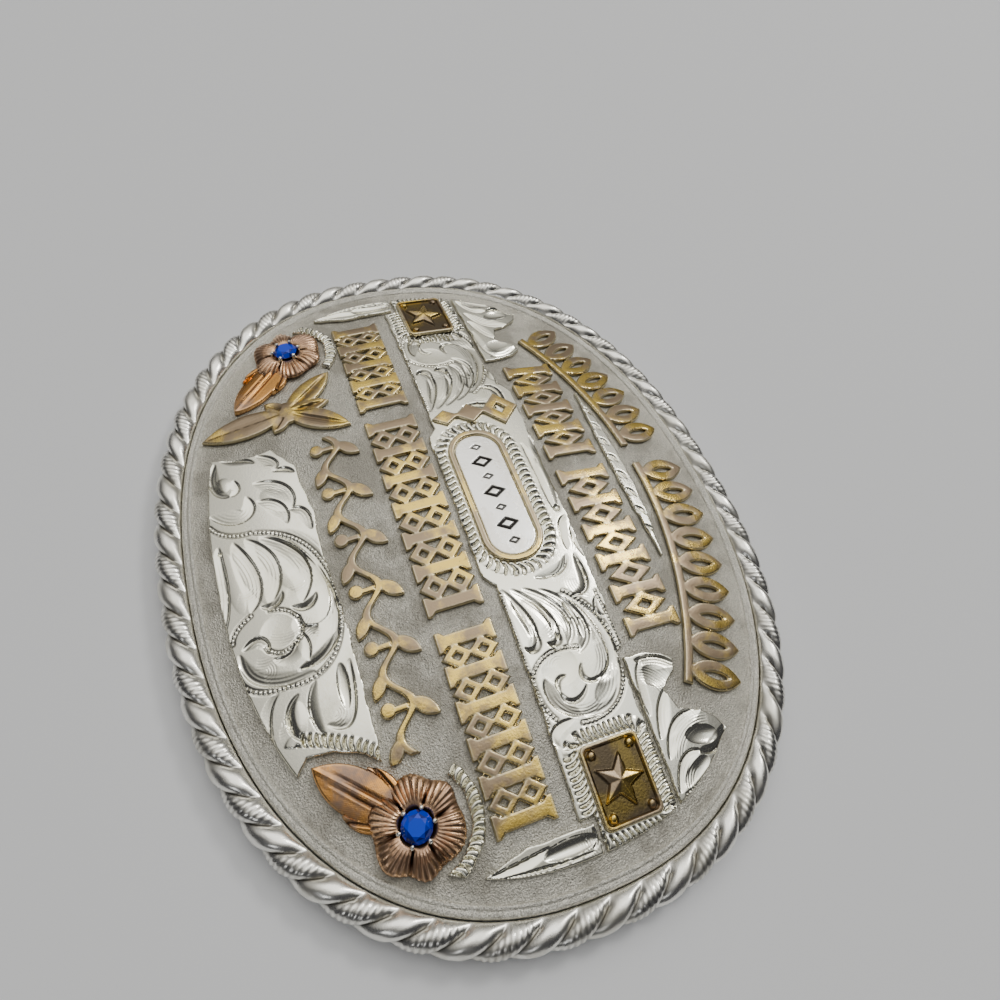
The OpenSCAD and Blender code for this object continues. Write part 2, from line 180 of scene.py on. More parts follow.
@dataclass(frozen=True)
class Face:
    """The domed face: its outline and the height of every layer on it.

    Attributes:
        rise: How much higher the middle is than the ends of the axes.
        edge_z: Height of the ground at the ends of the axes.
    """

    half_x: float = 44.0
    half_y: float = 33.9
    power: float = 2.3
    rise: float = 4.25
    edge_z: float = 3.45
    plate_t: float = 1.2
    bead_h: float = 0.35
    bead_w: float = 0.55
    border: float = 3.0

    @property
    def radius_x(self) -> float:
        """Radius of the dome along X."""
        return self.half_x**2 / (2 * self.rise) + self.rise / 2

    @property
    def radius_y(self) -> float:
        """Radius of the dome along Y."""
        return self.half_y**2 / (2 * self.rise) + self.rise / 2

    @property
    def apex_z(self) -> float:
        """Height of the middle of the face."""
        return self.edge_z + self.rise

    def height(self, x: Array, y: Array, above: Array | float = 0.0) -> Array:
        """Height of a layer of the dome."""
        across = self.radius_y - self.radius_x + np.sqrt((self.radius_x + above) ** 2 - x**2)
        return self.apex_z - self.radius_y + np.sqrt(across**2 - y**2)

    def rim_point(self, angle: Array, grow: Array | float) -> tuple[Array, Array]:
        """Points of the outline, grown by a distance.

        Args:
            angle: Parameters round the outline, in radians.
            grow: Distances outside the outline.

        Returns:
            The points' X and Y.
        """
        c, s = np.cos(angle), np.sin(angle)
        bend = 2 / self.power
        return (
            (self.half_x + grow) * np.sign(c) * np.abs(c) ** bend,
            (self.half_y + grow) * np.sign(s) * np.abs(s) ** bend,
        )

    def rim_distance(self, x: Array, y: Array, grow: float) -> Array:
        """Signed distance to the outline grown by a distance, exact near the outline.

        Args:
            x: Places along X.
            y: Places along Y.
            grow: How far the outline is grown.

        Returns:
            Signed distance to the outline.
        """
        a, b, p = self.half_x + grow, self.half_y + grow, self.power
        level = (np.abs(x / a) ** p + np.abs(y / b) ** p) ** (1 / p)
        slope_x = np.abs(x / a) ** (p - 1) / a
        slope_y = np.abs(y / b) ** (p - 1) / b
        slope = np.hypot(slope_x, slope_y) * np.maximum(level, 1e-6) ** (1 - p)
        return (level - 1) / np.maximum(slope, 1e-6)

    def rim_normal(self, x: Array, y: Array, grow: float) -> tuple[Array, Array]:
        """Unit vectors that point out of the outline at points of it.

        Args:
            x: Places along X.
            y: Places along Y.
            grow: How far the outline is grown.

        Returns:
            Both parts of the direction outward.
        """
        a, b, p = self.half_x + grow, self.half_y + grow, self.power - 1
        nx = np.sign(x) * np.abs(x / a) ** p / a
        ny = np.sign(y) * np.abs(y / b) ** p / b
        size = np.hypot(nx, ny)
        return nx / size, ny / size


FACE = Face()


# Engraving: every tool changes the relief of the places that it reaches


@dataclass
class Relief:
    """The worked surface of one piece: places, height changes and darkening.

    Attributes:
        recess: Darkening, from 0 on a bright surface to 1 in a deep cut.
    """

    x: Array
    y: Array
    lift: Array
    recess: Array

    @classmethod
    def at(cls, x: Array, y: Array) -> Relief:
        """An untouched relief at some places."""
        return cls(x, y, np.zeros(x.shape), np.zeros(x.shape))

    def near(self, path: Array, reach: float) -> Array:
        """Numbers of the places within reach of a path's box.

        Args:
            path: Points of the path.
            reach: How far round the box the places may be.

        Returns:
            The places' numbers.
        """
        low, high = path.min(0) - reach, path.max(0) + reach
        return np.nonzero(
            (self.x > low[0]) & (self.x < high[0]) & (self.y > low[1]) & (self.y < high[1])
        )[0]


def bezier(points: Sequence[Point], steps: int = 28) -> Array:
    """Points along a cubic curve.

    Args:
        points: Start, two handles and end.
        steps: Number of stretches.

    Returns:
        An array with one row for each point.
    """
    t = np.linspace(0, 1, steps + 1)[:, None]
    a, b, c, d = (np.array(p, float) for p in points)
    return (1 - t) ** 3 * a + 3 * t * (1 - t) ** 2 * b + 3 * t**2 * (1 - t) * c + t**3 * d


def along(x: Array, y: Array, path: Array) -> tuple[Array, Array]:
    """Nearest place on a path.

    Args:
        x: Places along X.
        y: Places along Y.
        path: The path's points.

    Returns:
        The length along the path up to the nearest place, and the distance from it, which is
        positive on the path's left side.
    """
    best = np.full(x.shape, 1e9)
    length = np.zeros(x.shape)
    side = np.zeros(x.shape)
    walked = 0.0
    for (x0, y0), (x1, y1) in zip(path[:-1], path[1:]):
        ex, ey = x1 - x0, y1 - y0
        size = math.hypot(ex, ey)
        if size < 1e-9:
            continue
        dx, dy = x - x0, y - y0
        part = np.clip((dx * ex + dy * ey) / size**2, 0, 1)
        away = np.hypot(dx - part * ex, dy - part * ey)
        closer = away < best
        best = np.where(closer, away, best)
        length = np.where(closer, walked + part * size, length)
        side = np.where(closer, np.sign(ex * dy - ey * dx), side)
        walked += size
    return length, best * side


def path_length(path: Array) -> float:
    """Length of a path."""
    return float(np.hypot(*np.diff(path, axis=0).T).sum())


@dataclass(frozen=True)
class Cut:
    """A bright cut along a curve: one steep wall and one that slopes away gently.

    Attributes:
        flare: The side of the gentle slope.
        dark: How much the bottom of the cut is tarnished.
        ripple: Depth of the fine lines that the tool leaves along a broad slope.
        broad: Width past which a slope shows the fine lines.
        steep: Width of the steep wall.
        taper: Power by which the cut swells from its ends.
        hollow: Power by which the gentle slope sinks.
    """

    curve: tuple[Point, Point, Point, Point]
    width: float = 1.0
    depth: float = 0.2
    flare: Flare = Flare.RIGHT
    dark: float = 0.28
    ripple: float = 0.022
    ripple_pitch: float = 0.4
    broad: float = 1.2
    steep: float = 0.25
    taper: float = 0.55
    hollow: float = 1.35

    def work(self, relief: Relief) -> None:
        """Cuts the curve into a relief.

        Args:
            relief: The relief that is worked.
        """
        path = bezier(self.curve)
        spot = relief.near(path, self.width + self.steep)
        s, away = along(relief.x[spot], relief.y[spot], path)
        swell = np.sin(math.pi * np.clip(s / path_length(path), 0, 1)) ** self.taper
        if self.flare is Flare.BOTH:
            v = np.abs(away) / np.maximum(self.width / 2 * swell, 1e-3)
            shape = np.clip(1 - v, 0, 1)
        else:
            v = away * self.flare.value
            gentle = np.clip(1 - v / np.maximum(self.width * swell, 1e-3), 0, 1) ** self.hollow
            wall = np.clip(1 + v / self.steep, 0, 1)
            shape = np.where(v >= 0, gentle, wall)
        shape = shape * swell
        relief.lift[spot] -= self.depth * shape
        if self.width > self.broad:
            line = 0.5 - 0.5 * np.cos(2 * math.pi * away / self.ripple_pitch)
            relief.lift[spot] -= self.ripple * line * np.clip(2 * shape, 0, 1) * (shape < 0.85)
        relief.recess[spot] = np.maximum(relief.recess[spot], self.dark * shape**3)


@dataclass(frozen=True)
class Beads:
    """A row of punched beads along a curve.

    Attributes:
        height: Height of a bead above the bottom of its trench.
        trench: Depth of the trench that the beads stand in.
        trench_w: Half the trench's width, in radii of a bead.
    """

    curve: tuple[Point, Point, Point, Point]
    pitch: float = 0.52
    radius: float = 0.22
    height: float = 0.13
    trench: float = 0.08
    trench_w: float = 2.2
    dark: float = 0.42

    def work(self, relief: Relief) -> None:
        """Punches the row into a relief.

        Args:
            relief: The relief that is worked.
        """
        path = bezier(self.curve)
        reach = self.trench_w * self.radius
        spot = relief.near(path, reach)
        s, away = along(relief.x[spot], relief.y[spot], path)
        pitch = path_length(path) / max(1, round(path_length(path) / self.pitch))
        rest = (s / pitch + 0.5) % 1 - 0.5
        far = np.hypot(rest * pitch, away) / self.radius
        ball = np.sqrt(np.clip(1 - far**2, 0, 1))
        strip = np.clip((reach - np.abs(away)) / self.radius, 0, 1)
        relief.lift[spot] += self.height * ball - self.trench * strip
        relief.recess[spot] = np.maximum(relief.recess[spot], self.dark * strip * (1 - ball) ** 2)


@dataclass(frozen=True)
class Wriggle:
    """A border of short cuts that stand across a line, on its left side.

    Attributes:
        slant: How far a cut leans along the line for each millimetre of width.
        bend: How far a cut is bent, in pitches.
        crown: Height of the swollen metal between the cuts.
    """

    path: tuple[Point, ...]
    width: float = 1.5
    pitch: float = 0.62
    depth: float = 0.17
    slant: float = 0.25
    bend: float = 0.3
    start_w: float = 0.18
    end_w: float = 0.22
    crown: float = 0.09
    rise: float = 0.03
    dark: float = 0.75

    def work(self, relief: Relief) -> None:
        """Cuts the border into a relief.

        Args:
            relief: The relief that is worked.
        """
        path = np.array(self.path, float)
        spot = relief.near(path, self.width)
        s, away = along(relief.x[spot], relief.y[spot], path)
        band = np.clip(away / self.start_w, 0, 1) * np.clip((self.width - away) / self.end_w, 0, 1)
        share = np.clip(away / self.width, 0, 1)
        phase = (s + self.slant * away) / self.pitch + self.bend * np.sin(math.pi * share)
        tooth = np.abs((phase % 1) * 2 - 1)
        groove = np.clip(1.4 * tooth - 0.4, 0, 1) ** 1.5
        swell = self.crown * np.sin(math.pi * share) * (1 - tooth**2)
        relief.lift[spot] += band * (self.rise + swell - self.depth * groove)
        relief.recess[spot] = np.maximum(relief.recess[spot], self.dark * band * groove**2)


@dataclass(frozen=True)
class Shading:
    """Fine parallel lines round a point, cut where a lobe turns away.

    Attributes:
        radius: Distance of the middle line from it.
        reach: How far the lines spread to both sides of the middle one.
        toward: Direction of the lines' middle, in degrees from +X.
        spread: Angle to both sides of it where they end, in degrees.
    """

    centre: Point
    radius: float
    reach: float
    pitch: float = 0.26
    toward: float = 60.0
    spread: float = 70.0
    depth: float = 0.05
    dark: float = 0.3

    def work(self, relief: Relief) -> None:
        """Cuts the lines into a relief.

        Args:
            relief: The relief that is worked.
        """
        path = np.array([self.centre, self.centre], float)
        spot = relief.near(path, self.radius + self.reach)
        u, v = turned(relief.x[spot], relief.y[spot], self.centre, self.toward)
        far = np.hypot(u, v)
        aside = np.degrees(np.abs(np.arctan2(v, u))) / self.spread
        fade = np.clip(1 - np.abs(far - self.radius) / self.reach, 0, 1)
        fade = fade * np.clip(1.5 * (1 - aside), 0, 1)
        wave = 0.5 - 0.5 * np.cos(2 * math.pi * far / self.pitch)
        relief.lift[spot] -= self.depth * wave * np.sqrt(fade)
        relief.recess[spot] = np.maximum(relief.recess[spot], self.dark * wave * fade)


@dataclass(frozen=True)
class Scoop:
    """A broad hollow, deepest near its middle, such as the eye of a scroll.

    Attributes:
        size: Half its length and half its width.
        turn: Turn of its length from +X, in degrees.
        depth: Its depth, or a height where it is negative.
    """

    centre: Point
    size: Point
    turn: float = 0.0
    depth: float = 0.2

    def work(self, relief: Relief) -> None:
        """Hollows the relief.

        Args:
            relief: The relief that is worked.
        """
        path = np.array([self.centre, self.centre], float)
        spot = relief.near(path, max(self.size))
        u, v = turned(relief.x[spot], relief.y[spot], self.centre, self.turn)
        far = np.hypot(u / self.size[0], v / self.size[1])
        relief.lift[spot] -= self.depth * np.clip(1 - far**2, 0, 1) ** 0.8


Tool = Cut | Beads | Wriggle | Shading | Scoop


def mirrored(tools: Iterable[Tool], about: float = 0.0) -> list[Tool]:
    """The same work seen in a mirror that stands across X.

    Args:
        tools: The work to mirror.
        about: Place of the mirror along X.

    Returns:
        The mirrored work.
    """
    swap = {Flare.LEFT: Flare.RIGHT, Flare.RIGHT: Flare.LEFT, Flare.BOTH: Flare.BOTH}

    def flip(p: Point) -> Point:
        """A point seen in the mirror."""
        return (2 * about - p[0], p[1])

    result: list[Tool] = []
    for tool in tools:
        if isinstance(tool, Cut):
            curve = tuple(flip(p) for p in tool.curve)
            result.append(replace(tool, curve=curve, flare=swap[tool.flare]))
        elif isinstance(tool, Beads):
            result.append(replace(tool, curve=tuple(flip(p) for p in tool.curve)))
        elif isinstance(tool, Wriggle):
            result.append(replace(tool, path=tuple(flip(p) for p in reversed(tool.path))))
        elif isinstance(tool, Shading):
            result.append(replace(tool, centre=flip(tool.centre), toward=180 - tool.toward))
        else:
            result.append(replace(tool, centre=flip(tool.centre), turn=180 - tool.turn))
    return result


def ring(centre: Point, radius: Point, start: float, end: float, steps: int = 24) -> tuple[Point, ...]:
    """Points along an arc of an ellipse."""
    angles = [math.radians(start + (end - start) * k / steps) for k in range(steps + 1)]
    return tuple((centre[0] + radius[0] * math.cos(a), centre[1] + radius[1] * math.sin(a)) for a in angles)


def round_box_path(centre: Point, width: float, height: float, radius: float) -> tuple[Point, ...]:
    """Closed clockwise path round a box with round corners, with its left side outside.

    Args:
        centre: Middle of the box.
        width: Its width.
        height: Its height.
        radius: Radius of its corners.

    Returns:
        Points of the path, with the first one repeated at the end.
    """
    x, y = width / 2 - radius, height / 2 - radius
    points: list[Point] = []
    for cx, cy, start in ((x, y, 90), (x, -y, 0), (-x, -y, -90), (-x, y, -180)):
        points += ring((centre[0] + cx, centre[1] + cy), (radius, radius), start, start - 90, 8)
    return tuple([*points, points[0]])


# Finishes


@dataclass(frozen=True)
class Metal:
    """A metal with grain, tarnish, dark recesses that hold tarnish and painted shade, and brighter edges
    that are worn and partly a painted highlight.

    Attributes:
        recess_colour: Colour at the bottom of cuts, of the specks and of the painted shade at the foot of
            walls.
        stain_scale: Scale of the tarnish, in patches for each metre.
        stain_amount: Share of the surface that the tarnish covers.
        wear_and_sheen_gain: How much brighter the edges are, as worn metal and partly a painted highlight.
        speck: Amount of small dark specks.
        sand: Contrast of the fine grain of sand-blasted metal.
        edge: Colour of the brighter edges, worn and partly a painted highlight.
    """

    name: str
    base: Triple
    stain: Triple
    recess_colour: Triple
    rough: float
    stain_rough: float
    stain_scale: float = 220.0
    stain_amount: float = 0.4
    grain: float = 0.00012
    bump: float = 0.2
    wear_and_sheen_gain: float = 0.0
    speck: float = 0.0
    sand: float = 0.0
    edge: Triple = (1.0, 1.0, 1.0)

    def material(self) -> bpy.types.Material:
        """Builds the material, or returns it if it is there.

        Returns:
            The node material.
        """
        if self.name in bpy.data.materials:
            return bpy.data.materials[self.name]
        web = Web(self.name)
        place = web.add("ShaderNodeTexCoord", {}, "Object")
        cloud = web.noise(place, self.stain_scale, detail=5.0, roughness=0.62)
        patch = web.ramp(cloud, 0.62 - 0.35 * self.stain_amount, 0.78 - 0.35 * self.stain_amount)
        colour = web.mix(patch, self.base, self.stain)
        rough = web.blend_value(patch, self.rough, self.stain_rough)
        # Brighter edges: worn metal, partly a painted highlight.
        colour = web.mix(web.scaled(web.attribute("edge"), self.wear_and_sheen_gain), colour, self.edge)
        fleck = web.ramp(web.noise(place, 3.1 * self.stain_scale, detail=3.0, roughness=0.7), 0.66, 0.74)
        colour = web.mix(web.scaled(fleck, self.speck), colour, self.recess_colour)
        # Darkening from the recess layer: tarnish in cuts and painted shade at the foot of walls.
        colour = web.mix(web.attribute("recess"), colour, self.recess_colour)
        grain = web.noise(place, 1 / self.grain, detail=2.0, roughness=0.6)
        if self.sand > 0:
            pit = web.scaled(web.ramp(web.noise(place, 1.3 / self.grain, 2.0, 0.7), 0.4, 0.62), self.sand)
            colour = web.mix(pit, colour, tuple(0.4 * c for c in self.base))
        web.finish(colour, rough, grain, self.bump, self.grain)
        return web.material


class Web:
    """Adds and links the nodes of one material."""

    def __init__(self, name: str) -> None:
        """Starts an empty material.

        Args:
            name: Name of the material.
        """
        self.material = bpy.data.materials.new(name)
        self.material.use_nodes = True
        self.tree = self.material.node_tree
        self.shader = self.tree.nodes["Principled BSDF"]

    def feed(self, node: bpy.types.Node, inputs: dict[str | int, object]) -> None:
        """Feeds a node's inputs, each with another node's output, a colour or a number.

        Args:
            node: The node.
            inputs: What each input is fed with.
        """
        for key, value in inputs.items():
            if isinstance(value, Socket):
                self.tree.links.new(value, node.inputs[key])
            elif isinstance(value, tuple):
                node.inputs[key].default_value = (*value, 1.0)
            else:
                node.inputs[key].default_value = value

    def add(
        self, kind: str, inputs: dict[str | int, object], result: str | int, **options: object
    ) -> Socket:
        """Adds a node.

        Args:
            kind: The node's type.
            inputs: What its inputs are fed with.
            result: The output that is wanted.
            options: Its own options, by name.

        Returns:
            The output.
        """
        node = self.tree.nodes.new(kind)
        for key, value in options.items():
            setattr(node, key, value)
        self.feed(node, inputs)
        return node.outputs[result]

    def noise(self, place: Socket, scale: float, detail: float, roughness: float) -> Socket:
        """Value of a noise pattern, whose scale is in patches for each metre."""
        inputs = {"Vector": place, "Scale": scale, "Detail": detail, "Roughness": roughness}
        return self.add("ShaderNodeTexNoise", inputs, "Fac")

    def ramp(self, value: Socket, low: float, high: float) -> Socket:
        """Share that goes smoothly from 0 to 1 as a value goes from low to high."""
        inputs = {"Value": value, "From Min": low, "From Max": high}
        return self.add("ShaderNodeMapRange", inputs, "Result", interpolation_type="SMOOTHSTEP")

    def blend_value(self, share: Socket, low: float, high: float) -> Socket:
        """A number between two ends, at a share of the way."""
        return self.add("ShaderNodeMapRange", {"Value": share, "To Min": low, "To Max": high}, "Result")

    def scaled(self, value: Socket, factor: float) -> Socket:
        """A value times a constant, kept between 0 and 1."""
        return self.add("ShaderNodeMath", {0: value, 1: factor}, 0, operation="MULTIPLY", use_clamp=True)

    def mix(self, share: Socket, first: object, second: object) -> Socket:
        """A colour between two others, at a share of the way."""
        return self.add("ShaderNodeMix", {"Factor": share, 6: first, 7: second}, 2, data_type="RGBA")

    def attribute(self, name: str) -> Socket:
        """Value of a mesh attribute, 0 where the mesh has none."""
        return self.add("ShaderNodeAttribute", {}, "Fac", attribute_name=name)

    def finish(self, colour: object, rough: object, grain: Socket, bump: float, size: float) -> None:
        """Links the results into a metal shader.

        Args:
            colour: Base colour.
            rough: Roughness.
            grain: Height of the surface grain.
            bump: Strength of the grain.
            size: Height of the grain in metres.
        """
        inputs = {"Strength": bump, "Distance": size, "Height": grain}
        normal = self.add("ShaderNodeBump", inputs, "Normal")
        self.feed(self.shader, {"Metallic": 1.0, "Base Color": colour, "Roughness": rough, "Normal": normal})


@dataclass(frozen=True)
class Gem:
    """A clear cut stone whose facets are given lighter and darker tones at random, as painted sparkle."""

    name: str = "blue cut stone"
    deep: Triple = (0.0005, 0.004, 0.1)
    light: Triple = (0.005, 0.05, 0.75)
    rough: float = 0.04
    ior: float = 1.5

    def material(self) -> bpy.types.Material:
        """Builds the material, or returns it if it is there.

        Returns:
            The node material.
        """
        if self.name in bpy.data.materials:
            return bpy.data.materials[self.name]
        web = Web(self.name)
        # Facet tones are painted sparkle: lighter and darker facets stand in for reflected light.
        tone = web.mix(web.attribute("painted_sparkle"), self.deep, self.light)
        web.feed(web.shader, {"Base Color": tone, "Roughness": self.rough, "IOR": self.ior})
        return web.material


MATTE_SILVER = Metal(
    "matte silver ground", (0.7, 0.675, 0.59), (0.5, 0.475, 0.41), (0.2, 0.18, 0.15),
    0.46, 0.6, stain_scale=140, stain_amount=0.5, grain=0.0002, bump=1.0, wear_and_sheen_gain=0.9, speck=0.25,
    sand=0.5, edge=(0.82, 0.8, 0.72),
)
BRIGHT_SILVER = Metal(
    "bright engraved silver", (0.945, 0.925, 0.79), (0.86, 0.84, 0.69), (0.27, 0.245, 0.19),
    0.2, 0.3, stain_scale=150, stain_amount=0.35, grain=0.0003, bump=0.025, speck=0.08,
)
ROPE_SILVER = Metal(
    "rope silver", (0.92, 0.905, 0.84), (0.76, 0.74, 0.66), (0.07, 0.06, 0.05),
    0.27, 0.38, stain_scale=180, stain_amount=0.4, grain=0.0002, bump=0.06,
)
BRASS = Metal(
    "olive brass", (0.76, 0.54, 0.13), (0.31, 0.235, 0.155), (0.05, 0.04, 0.025),
    0.2, 0.36, stain_scale=150, stain_amount=0.66, grain=0.00025, bump=0.12, wear_and_sheen_gain=0.8, speck=0.35,
    edge=(0.93, 0.83, 0.55),
)
COPPER = Metal(
    "rose copper", (0.8, 0.5, 0.29), (0.44, 0.275, 0.175), (0.05, 0.025, 0.015),
    0.26, 0.4, stain_scale=260, stain_amount=0.5, grain=0.0002, bump=0.15, wear_and_sheen_gain=0.8, speck=0.3,
    edge=(0.95, 0.68, 0.5),
)
LEAF_COPPER = Metal(
    "orange copper leaf", (0.85, 0.42, 0.12), (0.36, 0.25, 0.19), (0.05, 0.025, 0.015),
    0.22, 0.38, stain_scale=150, stain_amount=0.55, grain=0.0002, bump=0.1, wear_and_sheen_gain=0.8, speck=0.15,
    edge=(1.0, 0.62, 0.3),
)
NICKEL = Metal(
    "satin nickel back", (0.66, 0.65, 0.62), (0.55, 0.53, 0.5), (0.2, 0.18, 0.15),
    0.34, 0.45, stain_scale=120, stain_amount=0.4, grain=0.00025, bump=0.25,
)
GEM = Gem()


# Making pieces


def hand_in(
    name: str, bm: Shape, material: bpy.types.Material, sharp: float = 40.0
) -> Piece:
    """Turns a finished bmesh in millimetres into a piece of the object.

    Args:
        name: Name of the piece.
        bm: The finished shape, which is freed.
        material: Its finish.
        sharp: Angle in degrees past which an edge is sharp, or 0 for flat facets.

    Returns:
        The new object.
    """
    if bm.calc_volume(signed=True) < 0:
        bmesh.ops.reverse_faces(bm, faces=bm.faces)
    bmesh.ops.scale(bm, vec=(MM, MM, MM), verts=bm.verts)
    mesh = bpy.data.meshes.new(name)
    bm.to_mesh(mesh)
    bm.free()
    mesh.materials.append(material)
    if sharp > 0:
        mesh.shade_smooth()
        mesh.set_sharp_from_angle(angle=math.radians(sharp))
    piece = bpy.data.objects.new(name, mesh)
    bpy.context.scene.collection.objects.link(piece)
    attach(piece, BODY)
    return piece


def coordinates(bm: Shape) -> Array:
    """Places of all vertices, one row for each."""
    return np.array([v.co[:] for v in bm.verts])


def place_vertices(bm: Shape, co: Array) -> None:
    """Moves every vertex to its row of an array."""
    for vertex, row in zip(bm.verts, co.tolist()):
        vertex.co = row


def set_layer(bm: Shape, name: str, values: Array) -> None:
    """Stores one number for each vertex, which the finish reads by name.

    Args:
        bm: The shape.
        name: Name of the layer.
        values: A number for each vertex.
    """
    layer = bm.verts.layers.float.get(name) or bm.verts.layers.float.new(name)
    for vertex, value in zip(bm.verts, values.tolist()):
        vertex[layer] = value


@dataclass
class Sheet:
    """A raised piece of metal that lies on the dome.

    It starts as a fine grid. Cells outside the outline are deleted, the cells on it are pulled to
    it, and the edge is extruded down to the ground and closed.

    Attributes:
        name: Name of the piece, also of the node that it replaces unless nodes are given.
        outline: Signed distance to the outline.
        box: Lowest X, highest X, lowest Y and highest Y of the outline.
        cell: Size of the grid's cells.
        pillow: Extra height in the middle of broad places.
        pillow_w: Distance from the edge over which the pillow rises.
        raised: Height changes that aren't engraving, from the places and the edge distance.
        nodes: CAD nodes that the piece stands for.
        foot_shade: Painted shade that darkens the walls where they meet the ground.
        span: Length past which an edge of the underside is split.
        splits: How often the long edges are split.
        margin: Part of a cell that has to lie inside the outline for the cell to stay.
        thinnest: Least thickness under the deepest cut.
        edge_w: Width of the brighter edge, worn and partly a painted highlight, in widths of the bevel.
        edge_until: Tarnish past which no brighter edge shows.
    """

    name: str
    outline: Outline
    box: Box
    low: float
    high: float
    metal: Metal
    slot: Slot
    tools: Sequence[Tool] = ()
    cell: float = 0.1
    bevel: float = 0.16
    pillow: float = 0.0
    pillow_w: float = 1.2
    raised: Callable[[Relief, Array], None] | None = None
    nodes: tuple[str, ...] = ()
    foot_shade: float = 0.95
    span: float = 6.0
    splits: int = 5
    margin: float = 0.25
    thinnest: float = 0.02
    edge_w: float = 1.6
    edge_until: float = 0.3

    def build(self) -> Piece:
        """Builds and dresses the piece.

        Returns:
            The new object.
        """
        bm = bmesh.new()
        x0, x1, y0, y1 = self.box
        nx, ny = (math.ceil((high - low) / self.cell) + 2 for low, high in ((x0, x1), (y0, y1)))
        bmesh.ops.create_grid(bm, x_segments=nx, y_segments=ny, size=1)
        co = coordinates(bm)
        x = (x0 + x1) / 2 + co[:, 0] * nx * self.cell / 2
        y = (y0 + y1) / 2 + co[:, 1] * ny * self.cell / 2
        distance = self.outline(x, y)
        bm.verts.index_update()
        corners = np.array([[v.index for v in face.verts] for face in bm.faces])
        kept = distance[corners].min(1) < -self.margin * self.cell
        outside = [face for face, keep in zip(bm.faces, kept) if not keep]
        used = np.zeros(len(x), bool)
        used[corners[kept].ravel()] = True
        x, y, distance = x[used], y[used], distance[used]
        bmesh.ops.delete(bm, geom=outside, context="FACES")
        x, y = self.snapped(x, y, distance)
        distance = np.minimum(self.outline(x, y), 0)
        relief = Relief.at(x, y)
        if self.raised:
            self.raised(relief, distance)
        for tool in self.tools:
            tool.work(relief)
        edge = np.clip(1 + distance / self.bevel, 0, 1)
        drop = self.bevel * (1 - np.sqrt(np.clip(1 - edge**2, 0, 1)))
        broad = np.clip(-distance / self.pillow_w, 0, 1)
        top = self.high - drop + self.pillow * np.sin(broad * math.pi / 2) + relief.lift
        top = np.maximum(top, self.low + self.thinnest)
        place_vertices(bm, np.stack([x, y, FACE.height(x, y, top)], 1))
        set_layer(bm, "recess", np.clip(relief.recess, 0, 1))
        # Brighter edges, worn and partly a painted highlight, fading in over the bevel.
        bright = np.clip(1 + distance / (self.edge_w * self.bevel), 0, 1)
        set_layer(bm, "edge", bright * (relief.recess < self.edge_until))
        self.close(bm)
        name = self.name if self.nodes else f"{self.name}_dressed"
        piece = hand_in(name, bm, self.metal.material())
        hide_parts(*(self.nodes or (self.name,)))
        return piece

    def snapped(self, x: Array, y: Array, distance: Array) -> tuple[Array, Array]:
        """Pulls the vertices near and outside the outline onto it.

        Args:
            x: Places along X.
            y: Places along Y.
            distance: Their signed distances.

        Returns:
            The new places.
        """
        x, y = x.copy(), y.copy()
        step, rounds, least_slope = 0.02, 3, 0.2
        spot = np.nonzero(distance > -self.margin * self.cell)[0]
        for _ in range(rounds):
            px, py = x[spot], y[spot]
            value = self.outline(px, py)
            gx = (self.outline(px + step, py) - self.outline(px - step, py)) / (2 * step)
            gy = (self.outline(px, py + step) - self.outline(px, py - step)) / (2 * step)
            size = np.maximum(gx**2 + gy**2, least_slope)
            x[spot] = px - value * gx / size
            y[spot] = py - value * gy / size
        return x, y

    def close(self, bm: Shape) -> None:
        """Gives the sheet its walls and an underside that follows the dome.

        Args:
            bm: The worked top of the sheet.
        """
        for vertex in list(bm.verts):
            rim = [edge for edge in vertex.link_edges if edge.is_boundary]
            if len(rim) > 2:
                bmesh.utils.vert_separate(vertex, rim)
        for faces in self.parts(bm):
            self.close_part(bm, faces)
        for _ in range(self.splits):
            self.split_under(bm)
        under = [face for face in bm.faces if face.material_index]
        self.sink(bm, dict.fromkeys(vertex for face in under for vertex in face.verts))
        for face in under:
            face.material_index = 0
        bmesh.ops.recalc_face_normals(bm, faces=bm.faces)

    def parts(self, bm: Shape) -> list[list[BMFace]]:
        """Lists the faces of every separate part of the sheet.

        Args:
            bm: The worked top of the sheet.

        Returns:
            A list of faces for each part.
        """
        left = dict.fromkeys(bm.faces)
        found = []
        while left:
            stack = [left.popitem()[0]]
            part = list(stack)
            while stack:
                for edge in stack.pop().edges:
                    for face in edge.link_faces:
                        if face in left:
                            del left[face]
                            stack.append(face)
                            part.append(face)
            found.append(part)
        return found

    def close_part(self, bm: Shape, faces: list[BMFace]) -> None:
        """Closes one part of the sheet.

        The underside is a plain fill, marked by material 1. Where no fill can be made, it is a copy
        of the top.

        Args:
            bm: The sheet.
            faces: The faces of the part's top.
        """
        rim = dict.fromkeys(edge for face in faces for edge in face.edges if edge.is_boundary)
        made = bmesh.ops.extrude_edge_only(bm, edges=list(rim))["geom"]
        foot = [item for item in made if isinstance(item, BMEdge)]
        self.sink(bm, made)
        filled = bmesh.ops.triangle_fill(bm, use_beauty=True, edges=foot, normal=(0, 0, -1))["geom"]
        under = [item for item in filled if isinstance(item, BMFace)]
        if any(edge.is_boundary for edge in foot):
            lower = [item for item in made if isinstance(item, BMVert)]
            bmesh.ops.delete(bm, geom=lower, context="VERTS")
            made = bmesh.ops.extrude_face_region(bm, geom=faces, use_keep_orig=True)["geom"]
            self.sink(bm, made)
            return
        for face in under:
            face.material_index = 1

    def sink(self, bm: Shape, made: Iterable[object]) -> None:
        """Lays new vertices on the ground of the sheet and darkens them with painted shade.

        Args:
            bm: The sheet.
            made: What an operator has made.
        """
        recess = bm.verts.layers.float["recess"]
        for item in made:
            if isinstance(item, BMVert):
                item.co.z = float(FACE.height(item.co.x, item.co.y, self.low))
